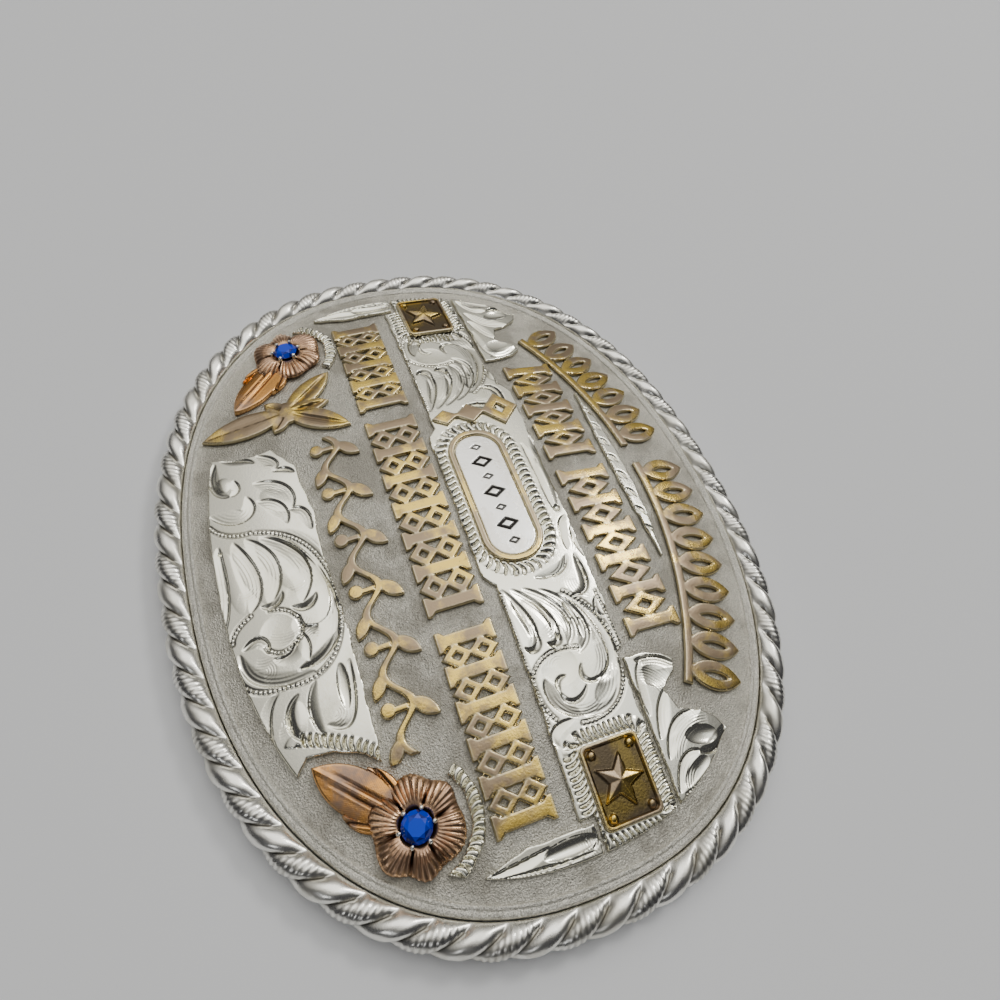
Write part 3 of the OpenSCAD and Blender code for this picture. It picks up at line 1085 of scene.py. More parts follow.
                # Painted shade: the foot of each wall is darkened where it meets the ground.
                item[recess] = self.foot_shade

    def split_under(self, bm: Shape) -> None:
        """Splits the long edges of the underside, whose faces have material 1.

        Args:
            bm: The closed sheet.
        """
        under = [face for face in bm.faces if face.material_index]
        edges = dict.fromkeys(edge for face in under for edge in face.edges)
        long = [edge for edge in edges if edge.calc_length() > self.span]
        if long:
            bmesh.ops.subdivide_edges(bm, edges=long, cuts=1)
            under = [face for face in bm.faces if face.material_index and len(face.verts) > 3]
            bmesh.ops.triangulate(bm, faces=under)


# Engraving of the panels


def label_box(grow: float) -> Triple:
    """Width, height and corner radius of the label, grown all round."""
    height = Label.height + 2 * grow
    return Label.width + 2 * grow, height, Label.roundness * height


RIGHT_SCROLL: list[Tool] = [
    Cut(((12.0, -0.5), (14.5, 1.4), (19.2, 3.2), (19.9, 0.1)), 1.95, 0.32),
    Cut(((12.3, 0.6), (14.5, 3.9), (19.5, 5.9), (20.0, 2.6)), 1.95, 0.32),
    Cut(((12.6, 2.0), (14.5, 5.9), (19.0, 7.6), (20.4, 4.7)), 1.95, 0.32),
    Cut(((13.2, 3.8), (14.8, 7.5), (20.4, 9.6), (21.5, 5.6)), 2.08, 0.35),
    Cut(((14.2, 5.8), (17.0, 9.9), (25.2, 11.0), (24.8, 5.8)), 1.69, 0.38, Flare.LEFT, 0.8),
    Cut(((14.8, 7.3), (19.0, 12.0), (30.5, 10.4), (27.9, 3.2)), 2.47, 0.3),
    Cut(((27.9, 3.4), (27.6, 1.0), (25.0, -0.3), (23.2, 0.8)), 1.69, 0.32, dark=0.8),
    Cut(((24.9, 6.6), (25.1, 5.0), (23.9, 4.6), (22.7, 5.5)), 0.7, 0.28, Flare.BOTH, 0.4),
    Cut(((25.0, 5.2), (26.9, 4.2), (26.8, 1.9), (24.9, 1.9)), 0.75, 0.28, Flare.BOTH, 0.4),
    Cut(((25.2, 1.95), (24.0, 1.7), (23.3, 2.3), (23.5, 3.3)), 0.75, 0.28, Flare.BOTH, 0.4),
    Cut(((18.6, 3.9), (20.0, 4.6), (20.3, 3.2), (19.4, 2.5)), 0.91, 0.35, Flare.BOTH, 0.9),
    Cut(((18.4, 1.7), (19.8, 2.0), (20.4, 0.4), (19.2, -0.2)), 0.91, 0.35, Flare.BOTH, 0.9),
    Cut(((9.9, 9.9), (12.5, 10.5), (15.6, 10.7), (14.9, 7.6)), 1.17, 0.35, dark=0.9),
    Cut(((9.8, 8.8), (12.4, 8.6), (12.2, 5.0), (11.6, 4.0)), 1.17, 0.3),
    Cut(((15.8, 10.3), (17.2, 9.4), (18.6, 9.8), (18.2, 10.6)), 0.78, 0.24, Flare.BOTH),
    Cut(((28.1, 2.2), (27.6, -0.6), (29.4, -1.2), (30.3, -0.2)), 0.91, 0.27, Flare.LEFT),
    Cut(((15.4, 6.2), (16.8, 7.0), (18.6, 7.2), (20.0, 6.8)), 1.69, 0.27, dark=0.2),
    Cut(((13.6, 0.2), (15.4, 1.0), (17.2, 1.3), (18.2, 0.9)), 0.65, 0.16, dark=0.2),
    Cut(((14.0, 2.6), (15.4, 3.8), (17.2, 4.2), (18.4, 3.6)), 0.65, 0.16, dark=0.2),
    Scoop((16.8, 3.1), (3.4, 1.0), 30, -0.08),
    Scoop((17.8, 6.5), (3.2, 1.1), 28, -0.08),
    Scoop((17.0, 0.7), (3.0, 0.8), 12, -0.06),
    Scoop((22.3, 2.9), (2.1, 2.2), 20, 0.14),
    Scoop((25.9, 7.3), (1.0, 2.2), 35, 0.12),
    Shading((24.6, 4.2), 3.2, 0.9, 0.3, -20, 60),
    Shading((22.3, 2.9), 1.3, 0.9, 0.3, 200, 60),
    Shading((17.2, 2.6), 1.3, 0.8, 0.3, 10, 60),
    Shading((21.6, 4.4), 3.9, 0.8, 0.32, 62, 32),
    Shading((9.6, 6.0), 2.6, 0.8, 0.32, 40, 40),
    Shading((13.4, 10.4), 2.4, 0.8, 0.32, -60, 40),
    Beads(((14.2, 6.7), (16.8, 9.9), (20.6, 10.7), (23.4, 10.3)), 0.5, 0.2),
    Beads(((24.0, 10.1), (27.6, 9.4), (29.3, 6.5), (28.8, 3.2)), 0.5, 0.2),
    Beads(((20.9, 5.7), (20.2, 3.6), (20.5, 0.9), (22.6, -0.4)), 0.45, 0.18),
    Beads(((22.6, -0.5), (24.4, -0.8), (26.4, -0.5), (27.6, 0.4)), 0.45, 0.18),
    Beads(((15.2, 10.6), (18.0, 10.9), (20.0, 11.0), (22.3, 10.9)), 0.42, 0.15),
]

LOWER_SCROLL: list[Tool] = [
    Cut(((-3.9, -28.3), (-1.0, -26.3), (3.8, -24.8), (5.5, -27.8)), 2.4, 0.31, dark=0.7),
    Cut(((-3.8, -26.9), (-2.0, -23.8), (2.5, -22.4), (5.4, -25.6)), 2.55, 0.29),
    Cut(((-3.4, -25.2), (-1.6, -21.0), (3.2, -18.8), (6.3, -22.2)), 2.7, 0.34, dark=0.6),
    Cut(((-4.0, -30.0), (0.0, -29.7), (4.0, -29.4), (7.2, -31.2)), 1.8, 0.29),
    Cut(((5.6, -20.4), (6.8, -20.8), (7.4, -22.0), (6.4, -23.4)), 1.2, 0.34, Flare.BOTH, 0.6),
    Cut(((4.2, -24.0), (5.4, -24.2), (6.0, -25.6), (5.2, -26.6)), 1.05, 0.31, Flare.BOTH, 0.7),
    Cut(((-3.7, -24.2), (-0.5, -18.4), (9.2, -17.2), (9.5, -21.2)), 2.1, 0.26, Flare.LEFT),
    Cut(((9.5, -21.0), (9.5, -22.6), (8.8, -23.0), (7.6, -22.8)), 1.2, 0.31, Flare.LEFT, 0.8),
    Cut(((-3.9, -25.2), (0.5, -17.4), (13.8, -15.9), (13.7, -24.2)), 2.25, 0.29, dark=0.6),
    Cut(((10.6, -18.9), (12.6, -19.7), (13.9, -21.6), (13.6, -24.0)), 1.05, 0.39, dark=0.95),
    Cut(((14.4, -22.4), (15.4, -27.0), (13.4, -30.4), (9.8, -29.7)), 1.5, 0.29),
    Cut(((10.8, -26.9), (9.4, -26.0), (7.6, -27.6), (9.6, -29.3)), 1.3, 0.34, Flare.LEFT, 0.9),
    Cut(((13.0, -22.9), (11.6, -22.2), (10.2, -22.4), (9.4, -23.3)), 1.2, 0.25, Flare.LEFT, 0.5),
    Cut(((9.6, -23.4), (11.2, -23.4), (12.3, -24.9), (11.6, -26.4)), 1.2, 0.28, Flare.LEFT, 0.7),
    Cut(((14.3, -18.8), (17.5, -18.9), (23.2, -19.2), (20.2, -22.5)), 1.4, 0.28, dark=0.4),
    Scoop((16.9, -20.0), (2.5, 0.7), -4, 0.34),
    Cut(((15.4, -22.6), (16.6, -24.0), (19.0, -24.4), (21.4, -23.0)), 1.0, 0.25, Flare.LEFT, 0.3),
    Cut(((16.2, -24.6), (17.0, -26.9), (20.6, -26.9), (21.2, -24.4)), 0.9, 0.3, Flare.LEFT, 0.5),
    Scoop((18.7, -25.2), (1.9, 0.9), -6, -0.12),
    Cut(((15.3, -26.6), (16.8, -28.8), (22.0, -28.6), (24.2, -26.9)), 1.3, 0.29, dark=0.6),
    Cut(((14.6, -29.8), (15.6, -30.4), (16.4, -30.2), (16.8, -29.4)), 1.2, 0.29, Flare.BOTH, 0.7),
    Cut(((-16.2, -28.6), (-14.6, -30.2), (-10.8, -30.0), (-10.6, -27.6)), 1.3, 0.28, Flare.LEFT),
    Cut(((-10.6, -27.5), (-10.5, -26.3), (-11.7, -26.1), (-12.7, -26.9)), 0.9, 0.28, Flare.LEFT, 0.5),
    Cut(((-9.7, -25.8), (-7.0, -23.4), (-4.4, -27.6), (-8.6, -30.3)), 2.25, 0.31),
    Cut(((-12.2, -22.0), (-12.8, -20.8), (-12.2, -20.0), (-11.2, -19.5)), 0.8, 0.28, dark=0.5),
    Cut(((-11.2, -24.6), (-11.4, -21.4), (-8.4, -19.2), (-5.9, -20.9)), 2.25, 0.29),
    Cut(((-6.0, -21.2), (-6.3, -19.3), (-4.6, -18.7), (-2.4, -19.2)), 1.35, 0.31, dark=0.8),
    Cut(((-8.4, -24.6), (-8.6, -22.4), (-6.2, -20.6), (-4.2, -21.8)), 1.8, 0.26),
    Cut(((-16.4, -28.0), (-15.6, -26.2), (-15.8, -24.6), (-14.4, -24.0)), 0.9, 0.26, dark=0.5),
    Cut(((-15.4, -23.6), (-14.8, -21.4), (-13.0, -20.6), (-12.4, -22.0)), 1.5, 0.26),
    Scoop((0.8, -23.6), (4.6, 1.5), 24, -0.09),
    Scoop((1.0, -26.7), (4.6, 1.3), 18, -0.09),
    Scoop((1.2, -29.0), (4.2, 1.0), 6, -0.07),
    Scoop((-8.0, -22.4), (2.2, 1.3), 40, -0.09),
    Scoop((-12.5, -28.1), (1.1, 1.0), 0, -0.12),
    Scoop((8.6, -25.0), (1.9, 2.3), 10, 0.12),
    Beads(((6.0, -25.8), (6.3, -23.4), (8.6, -22.0), (10.2, -23.2)), 0.42, 0.16),
    Beads(((10.4, -23.6), (11.6, -24.8), (11.4, -26.4), (10.0, -26.9)), 0.42, 0.16),
    Scoop((-3.1, -29.9), (0.3, 0.25), 0, 0.24),
    Shading((6.4, -24.6), 3.4, 0.9, 0.3, 10, 45),
    Shading((2.6, -22.8), 2.0, 0.9, 0.3, 20, 40),
    Shading((11.4, -21.6), 1.2, 0.8, 0.28, 190, 50),
    Shading((1.6, -28.2), 2.0, 0.9, 0.3, 20, 40),
    Shading((9.2, -27.2), 2.6, 0.8, 0.3, 5, 30),
    Shading((-11.0, -21.6), 1.6, 0.8, 0.28, -30, 50),
    Shading((19.4, -21.6), 1.0, 0.8, 0.28),
    Shading((18.6, -27.2), 0.9, 0.7, 0.28),
    Shading((12.6, -27.6), 0.8, 0.7, 0.28),
    Beads(((-4.3, -25.6), (-2.4, -19.6), (2.2, -18.3), (8.0, -18.1)), 0.5, 0.19),
    Beads(((8.6, -18.4), (13.6, -18.9), (15.8, -22.0), (15.0, -25.6)), 0.5, 0.19),
    Beads(((15.0, -26.0), (15.0, -28.0), (14.4, -29.8), (12.4, -30.4)), 0.5, 0.19),
    Beads(((5.9, -27.9), (6.5, -29.2), (7.3, -30.2), (8.4, -30.3)), 0.45, 0.18),
    Beads(((-4.5, -26.2), (-4.6, -28.0), (-5.2, -29.6), (-7.0, -30.6)), 0.5, 0.19),
    Wriggle(((21.4, -25.8), (22.2, -23.6), (23.6, -20.8), (25.6, -18.2)), 1.5, 0.7, 0.36),
]

CORNER: list[Tool] = [
    Cut(((26.0, 16.3), (24.5, 15.3), (24.0, 13.6), (24.3, 11.6)), 1.5, 0.34, Flare.LEFT, 0.8),
    Scoop((26.5, 13.3), (1.3, 1.9), -20, 0.2),
    Cut(((24.4, 12.4), (25.2, 11.0), (27.4, 10.7), (30.4, 10.9)), 0.9, 0.26, Flare.LEFT, 0.6),
    Cut(((28.2, 13.9), (28.9, 12.6), (30.4, 11.6), (33.0, 11.1)), 1.5, 0.36, Flare.LEFT, 0.9),
    Cut(((31.2, 17.2), (30.7, 13.8), (32.0, 12.0), (35.2, 11.2)), 1.8, 0.38, Flare.LEFT, 0.7),
    Scoop((33.9, 16.0), (1.1, 2.1), -12, 0.3),
    Cut(((33.7, 19.3), (35.6, 18.4), (36.5, 16.6), (35.4, 14.9)), 1.3, 0.36, dark=0.8),
    Cut(((35.4, 15.0), (34.6, 13.4), (35.6, 11.7), (38.6, 10.9)), 1.6, 0.4, Flare.LEFT, 0.9),
    Scoop((37.2, 13.7), (0.9, 2.2), 28, 0.24),
    Shading((28.8, 11.0), 3.1, 1.1, 0.3, 135, 42),
    Shading((36.8, 16.2), 4.5, 1.0, 0.3, 208, 44),
    Shading((38.9, 15.0), 3.0, 0.9, 0.3, 235, 30),
    Beads(((34.6, 19.2), (36.6, 17.2), (38.2, 14.6), (39.0, 11.6)), 0.42, 0.16),
]

LONG_LEAVES: list[Tool] = [
    Cut(((-8.4, 11.2), (-4.0, 11.7), (1.6, 11.7), (4.0, 10.4)), 1.1, 0.26, dark=0.4),
    Cut(((4.0, 10.3), (3.2, 9.5), (-1.4, 9.9), (-7.4, 9.7)), 0.9, 0.24, dark=0.4),
    Scoop((3.3, 10.4), (0.5, 0.42), 0, 0.3),
    Cut(((4.7, 11.1), (4.8, 9.5), (7.2, 9.2), (9.2, 9.4)), 1.0, 0.3, Flare.LEFT, 0.5),
    Cut(((6.2, 11.1), (7.6, 10.6), (9.2, 10.7), (10.6, 11.2)), 0.8, 0.22, Flare.LEFT, 0.4),
    Scoop((-3.2, 10.7), (3.4, 0.55), 0, -0.06),
    Shading((8.0, 7.6), 2.9, 0.7, 0.32, 85, 26),
    Shading((-4.0, 7.6), 3.0, 0.7, 0.32, 92, 20),
]

SIDE: list[Tool] = [
    Scoop((39.35, -2.6), (0.85, 3.0), 0, 0.4),
    Cut(((38.7, -4.6), (38.9, -6.8), (39.1, -9.0), (39.1, -11.0)), 0.9, 0.34, Flare.LEFT, 0.5),
    Cut(((40.5, -0.2), (40.5, -3.6), (40.2, -7.0), (39.5, -10.4)), 0.5, 0.2, Flare.BOTH, 0.4),
    Cut(((38.5, 0.1), (38.9, 0.5), (39.9, 0.5), (40.2, -0.4)), 0.5, 0.22, dark=0.4),
    Shading((39.4, 2.4), 3.2, 0.9, 0.28, -90, 30),
]


def leaf_cuts(start: Point, end: Point, count: int, size: float) -> list[Tool]:
    """A row of leaning leaf-shaped cuts, in pairs that share a root.

    Args:
        start: Middle of the first pair.
        end: Middle of the last pair.
        count: Number of pairs.
        size: Height of a pair.

    Returns:
        The row's cuts.
    """
    row: list[Tool] = []
    for k in range(count):
        share = k / max(1, count - 1)
        x = start[0] + (end[0] - start[0]) * share
        y = start[1] + (end[1] - start[1]) * share
        h, w = size / 2, 0.9 * size
        long = [(-0.7, -1.0), (-0.5, 0.7), (0.2, 1.1), (0.7, 0.7)]
        short = [(-0.6, -1.0), (-0.1, -0.5), (0.3, -0.4), (0.5, -0.6)]
        for leaf, width, depth, dark in ((long, 0.45, 0.24, 0.6), (short, 0.35, 0.2, 0.5)):
            curve = tuple((x + across * w, y + up * h) for across, up in leaf)
            row.append(Cut(curve, width * size, depth, dark=dark))
    return row


@dataclass
class Panels:
    """The nine engraved silver panels of the face.

    Attributes:
        waves: Height of the waves of hand-worked sheet.
        uneven: How far the hand-cut edge wanders inwards.
    """

    low: float = 0.05
    high: float = 0.58
    middle_high: float = 0.50
    waves: float = 0.009
    uneven: float = 0.09

    def sheet(self, name: str, outline: Outline, box: Box,
              tools: Sequence[Tool], cell: float = 0.1, high: float | None = None) -> Sheet:
        """One panel, kept inside the matte border.

        Args:
            name: The node that the panel replaces.
            outline: Signed distance to the panel's own outline.
            box: Its box.
            tools: Its engraving.
            cell: Size of its grid.
            high: Height of its upper side, if it isn't the usual one.

        Returns:
            The sheet, ready to build.
        """

        def inside(x: Array, y: Array) -> Array:
            """Distance to the panel's outline within the border, a little uneven as if cut by hand.

            Args:
                x: Places along X.
                y: Places along Y.

            Returns:
                Signed distances, negative inside.
            """
            along_x = np.sin(x / 0.62 + 1.9 * np.sin(y / 1.7))
            along_y = np.sin(y / 0.71 + 1.4 * np.sin(x / 2.3))
            uneven = self.uneven * (1 + along_x * along_y)
            return np.maximum(outline(x, y) + uneven, FACE.rim_distance(x, y, -FACE.border))

        return Sheet(name, inside, box, self.low, high or self.high, BRIGHT_SILVER, Slot.BRIGHT,
                     tools, cell, raised=self.hand_worked)

    def hand_worked(self, relief: Relief, distance: Array) -> None:
        """Gives the panel the slight waves of hand-worked sheet."""
        wave = np.sin(relief.x / 1.9 + 1.3 * np.sin(relief.y / 2.7))
        relief.lift += self.waves * wave * np.sin(relief.y / 1.6 + relief.x / 5.1)

    def middle(self) -> Sheet:
        """The long panel behind the label and the end plates.

        Returns:
            The sheet, ready to build.
        """
        corners = [
            (-43, 0.9), (-37.6, 0.9), (-37.6, -0.9), (-12.6, -0.9), (-11.4, -2.1), (10, -2.1), (11.4, -0.9),
            (37.6, -0.9), (37.6, 0.9), (43, 0.9), (43, 10.1), (22.6, 10.1), (22.2, 11.1),
            (4.6, 11.4), (-8.6, 11.6), (-16.8, 12), (-19, 10.8), (-22.6, 10.1), (-43, 10.1),
        ]
        label = round_box_path(Label.centre, *label_box(0.15))
        tools: list[Tool] = [
            *RIGHT_SCROLL,
            *mirrored(RIGHT_SCROLL, -1.75),
            *LONG_LEAVES,
            Wriggle(label, 1.65, 0.86, 0.26),
        ]
        for side in (-1, 1):
            plate = round_box_path((side * EndPlates.centre[0], EndPlates.centre[1]),
                                   EndPlates.width + 0.3, EndPlates.height + 0.3, 0.9)
            tools.append(Wriggle(plate, 1.6, 0.66, 0.3))
        tools += [
            Beads(((12.4, -0.65), (16.0, -0.7), (22.0, -0.7), (28.0, -0.65)), 0.4, 0.14),
            Beads(((-31.5, -0.65), (-25.5, -0.7), (-19.5, -0.7), (-15.9, -0.65)), 0.4, 0.14),
        ]
        return self.sheet("panel_middle", lambda x, y: polygon_distance(x, y, corners),
                          (-41.2, 41.2, -2.1, 12.0), tools, 0.105, self.middle_high)

    def lower(self) -> Sheet:
        """The broad panel at the bottom.

        Returns:
            The sheet, ready to build.
        """
        corners = [
            (-17.2, -29.4), (-15.7, -25), (-16, -21.6), (-12.4, -19.2), (-8.6, -18.9), (-5.2, -18.3),
            (0, -18.6), (8, -18), (26, -18), (24.4, -19.6), (23.2, -22.4), (22.7, -25.2),
            (24.6, -26.8), (24.6, -34), (-17.2, -34),
        ]
        return self.sheet("panel_lower", lambda x, y: polygon_distance(x, y, corners),
                          (-17.2, 26, -31, -18), LOWER_SCROLL, 0.09)

    def lens(self, x: Array, y: Array) -> Array:
        """Distance to the slim panel under the curved strips, whose two edges are arcs.

        Args:
            x: Places along X.
            y: Places along Y.

        Returns:
            Signed distances, negative inside.
        """
        half, upper, lower = 14.5, 1.45, 0.75
        upper_r, lower_r = ((half**2 + bulge**2) / (2 * bulge) for bulge in (upper, lower))
        above = np.hypot(x + 1.2, y - 21.5 - upper + upper_r) - upper_r
        below = np.hypot(x + 1.2, y - 21.5 - lower_r + lower) - lower_r
        return np.maximum(above, below)

    def band(self, x: Array, y: Array) -> Array:
        """Distance to the band of cuts beyond the right flower.

        Args:
            x: Places along X.
            y: Places along Y.

        Returns:
            Signed distances, negative inside.
        """
        inner, outer = Flower.radius + 0.55, Flower.radius + 2.1
        u, v = turned(x, y, Flower.centre, 70)
        far = np.hypot(u, v)
        aside = np.abs(np.arctan2(v, u)) - math.radians(62)
        return np.maximum(np.abs(far - (inner + outer) / 2) - (outer - inner) / 2, far * aside)

    def pair(self, name: str, outline: Outline, box: Box,
             tools: Sequence[Tool], cell: float) -> list[Sheet]:
        """A panel on the right and its mirror image on the left.

        Args:
            name: The nodes' name without its side.
            outline: Signed distance to the right panel's outline.
            box: Its box.
            tools: Its engraving.
            cell: Size of its grid.

        Returns:
            Both sheets, ready to build.
        """
        right = self.sheet(f"{name}_right", outline, box, tools, cell)
        left = self.sheet(f"{name}_left", lambda x, y: outline(-x, y), (-box[1], -box[0], box[2], box[3]),
                          mirrored(tools), cell)
        return [right, left]

    def build(self) -> list[Piece]:
        """Builds all panels.

        Returns:
            The new objects.
        """
        corner = [
            (23.4, 10.4), (23.6, 13.4), (24.2, 15.4), (25.2, 16.6), (26.6, 16), (28.3, 13.8),
            (30.4, 14.7), (31.2, 17), (32.6, 18.8), (34.2, 19.6), (44, 19.6), (44, 10.4),
        ]
        side = [(38, 0.6), (37.8, -7), (38.9, -11.5), (43, -11.5), (43, 0.6)]
        place = Flower.centre
        start = Flower.radius + 0.55
        band_box = (place[0] - 5.5, place[0] + 7, place[1], place[1] + 7)
        band_cuts = [Wriggle(ring(place, (start + 0.02, start + 0.02), 140, 0), 1.5, 0.78, 0.4)]
        lens_cuts = [
            *leaf_cuts((-11.2, 21.55), (9.0, 21.6), 8, 1.2),
            Beads(((-13.4, 21.1), (-8.0, 20.85), (6.0, 20.85), (11.2, 21.15)), 0.42, 0.13),
        ]
        sheets = [
            self.middle(),
            self.lower(),
            self.sheet("panel_top", self.lens, (-15.8, 13.4, 20.6, 23.0), lens_cuts, 0.09),
            *self.pair("panel_corner", lambda x, y: polygon_distance(x, y, corner),
                       (23.4, 41, 10.4, 19.6), CORNER, 0.08),
            *self.pair("panel_side", lambda x, y: polygon_distance(x, y, side),
                       (37.8, 41, -11.5, 0.6), SIDE, 0.08),
            *self.pair("panel_flower", self.band, band_box, band_cuts, 0.08),
        ]
        return [sheet.build() for sheet in sheets]


# Brass


@dataclass
class Strips:
    """The pierced brass strips: curved rows of leaves and straight rows of posts and lozenges.

    Attributes:
        arc_r: Radius of the curved strips' lower edge.
        arc_y: Y of the middle of their arc.
        rail: Height of the rail that the leaves stand on.
        slot: Place, length and width of a leaf's slot, in lengths and pitches of the leaf.
        flare: How far the foot and the head of a post spread.
        foot: Height of that foot as a part of the strip's height.
        overlap: How far the lozenges reach into the posts.
        pierced: Size of a lozenge's opening as a part of the lozenge.
    """

    low: float = 0.05
    high: float = 0.65
    cell: float = 0.11
    bevel: float = 0.17
    pillow: float = 0.03
    arc_r: float = 55.7
    arc_h: float = 7.4
    arc_y: float = -31.4
    rail: float = 1.1
    slot: Triple = (0.3, 0.46, 0.24)
    post_w: float = 1.5
    flare: float = 0.45
    foot: float = 0.16
    overlap: float = 0.7
    pierced: float = 0.32

    def arc(self, start: float, end: float, count: int) -> Outline:
        """A curved row of upright slotted leaves on a rail.

        Args:
            start: Angle of its left end, clockwise from the top.
            end: Angle of its right end.
            count: Number of leaves.

        Returns:
            Signed distance to the strip.
        """
        turn = (end - start) / count
        pitch = 2 * self.arc_r * math.tan(math.radians(turn) / 2)
        leaf_h = self.arc_h - 0.4 * self.rail

        def distance(x: Array, y: Array) -> Array:
            """Signed distance to the strip.

            Args:
                x: Places along X.
                y: Places along Y.

            Returns:
                Signed distances, negative inside.
            """
            slot_at, slot_l, slot_w = self.slot
            far = np.hypot(x, y - self.arc_y)
            angle = np.degrees(np.arctan2(x, y - self.arc_y))
            number = np.clip(np.floor((angle - start) / turn), 0, count - 1)
            rest = np.radians(angle - start - (number + 0.5) * turn)
            u = far * np.cos(rest) - self.arc_r - 0.4 * self.rail
            v = far * np.sin(rest)
            leaf = lens_distance(u, v, leaf_h, 1.02 * pitch)
            slot = lens_distance(u - slot_at * leaf_h, v, slot_l * leaf_h, slot_w * pitch)
            ends = np.maximum(np.radians(start - angle), np.radians(angle - end)) * far
            rail = np.maximum(np.abs(far - self.arc_r - self.rail / 2) - self.rail / 2, ends)
            return np.minimum(np.maximum(leaf, -slot), rail)

        return distance

    def row(self, start: float, end: float, y0: float, height: float, count: int, tiers: int) -> Outline:
        """A straight row of posts with pierced lozenges between them.

        Args:
            start: X of its left end.
            end: X of its right end.
            y0: Y of its middle.
            height: Its height.
            count: Number of motifs.
            tiers: Lozenges above each other in a motif.

        Returns:
            Signed distance to the strip.
        """
        pitch = (end - start - self.post_w) / count
        width = pitch - self.post_w + self.overlap
        foot = self.foot * height
        places, tall = ((0.0,), 0.86) if tiers == 1 else ((-0.225, 0.225), 0.55)

        def distance(x: Array, y: Array) -> Array:
            """Signed distance to the strip.

            Args:
                x: Places along X.
                y: Places along Y.

            Returns:
                Signed distances, negative inside.
            """
            u, v = x - start - self.post_w / 2, y - y0
            from_post = u - np.clip(np.round(u / pitch), 0, count) * pitch
            spread = self.flare * np.clip((np.abs(v) - height / 2 + foot) / (foot / 2), 0, 1)
            best = np.maximum(np.abs(from_post) - self.post_w / 2 - spread, np.abs(v) - height / 2)
            from_motif = u - (np.clip(np.floor(u / pitch), 0, count - 1) + 0.5) * pitch
            for place in places:
                w = v - place * height
                solid = lozenge_distance(from_motif, w, width, tall * height)
                hole = lozenge_distance(from_motif, w, self.pierced * width, self.pierced * tall * height)
                best = np.minimum(best, np.maximum(solid, -hole))
            return best

        return distance

    def build(self) -> list[Piece]:
        """Builds all strips.

        Returns:
            The new objects.
        """
        upper, long = (16.1, 7.2), (-6.1, 6.7)
        rows = [
            ("strip_upper_left", -21.2, -4.4, *upper, 4, 1),
            ("strip_upper_right", -1.6, 21.2, *upper, 5, 1),
            ("strip_long_left", -35.2, -18.4, *long, 4, 2),
            ("strip_long_middle", -15.4, 12.4, *long, 6, 2),
            ("strip_long_right", 15.2, 36.0, *long, 5, 2),
        ]
        sheets = [
            self.sheet("strip_arc_left", self.arc(-29.2, -4.6, 7), (-31.2, -4.2, 16.8, 31.8)),
            self.sheet("strip_arc_right", self.arc(-1.4, 30.3, 9), (-1.7, 32.3, 16.0, 31.8)),
        ]
        for name, start, end, y0, height, count, tiers in rows:
            box = (start - 0.5, end + 0.5, y0 - height / 2, y0 + height / 2)
            sheets.append(self.sheet(name, self.row(start, end, y0, height, count, tiers), box))
        return [sheet.build() for sheet in sheets]

    def sheet(self, name: str, outline: Outline, box: Box) -> Sheet:
        """One strip of brass."""
        return Sheet(name, outline, box, self.low, self.high, BRASS, Slot.BRASS,
                     cell=self.cell, bevel=self.bevel, pillow=self.pillow, raised=worn)


def worn(relief: Relief, distance: Array) -> None:
    """Gives brass the soft dents of cast and hand-filed metal.

    Args:
        relief: The relief of the piece.
        distance: Distance to its edge; not used.
    """
    depth = 0.01
    wave = np.sin(relief.x / 0.9 + 1.7 * np.sin(relief.y / 1.3))
    relief.lift += depth * wave * np.sin(relief.y / 0.8 + relief.x / 2.1)


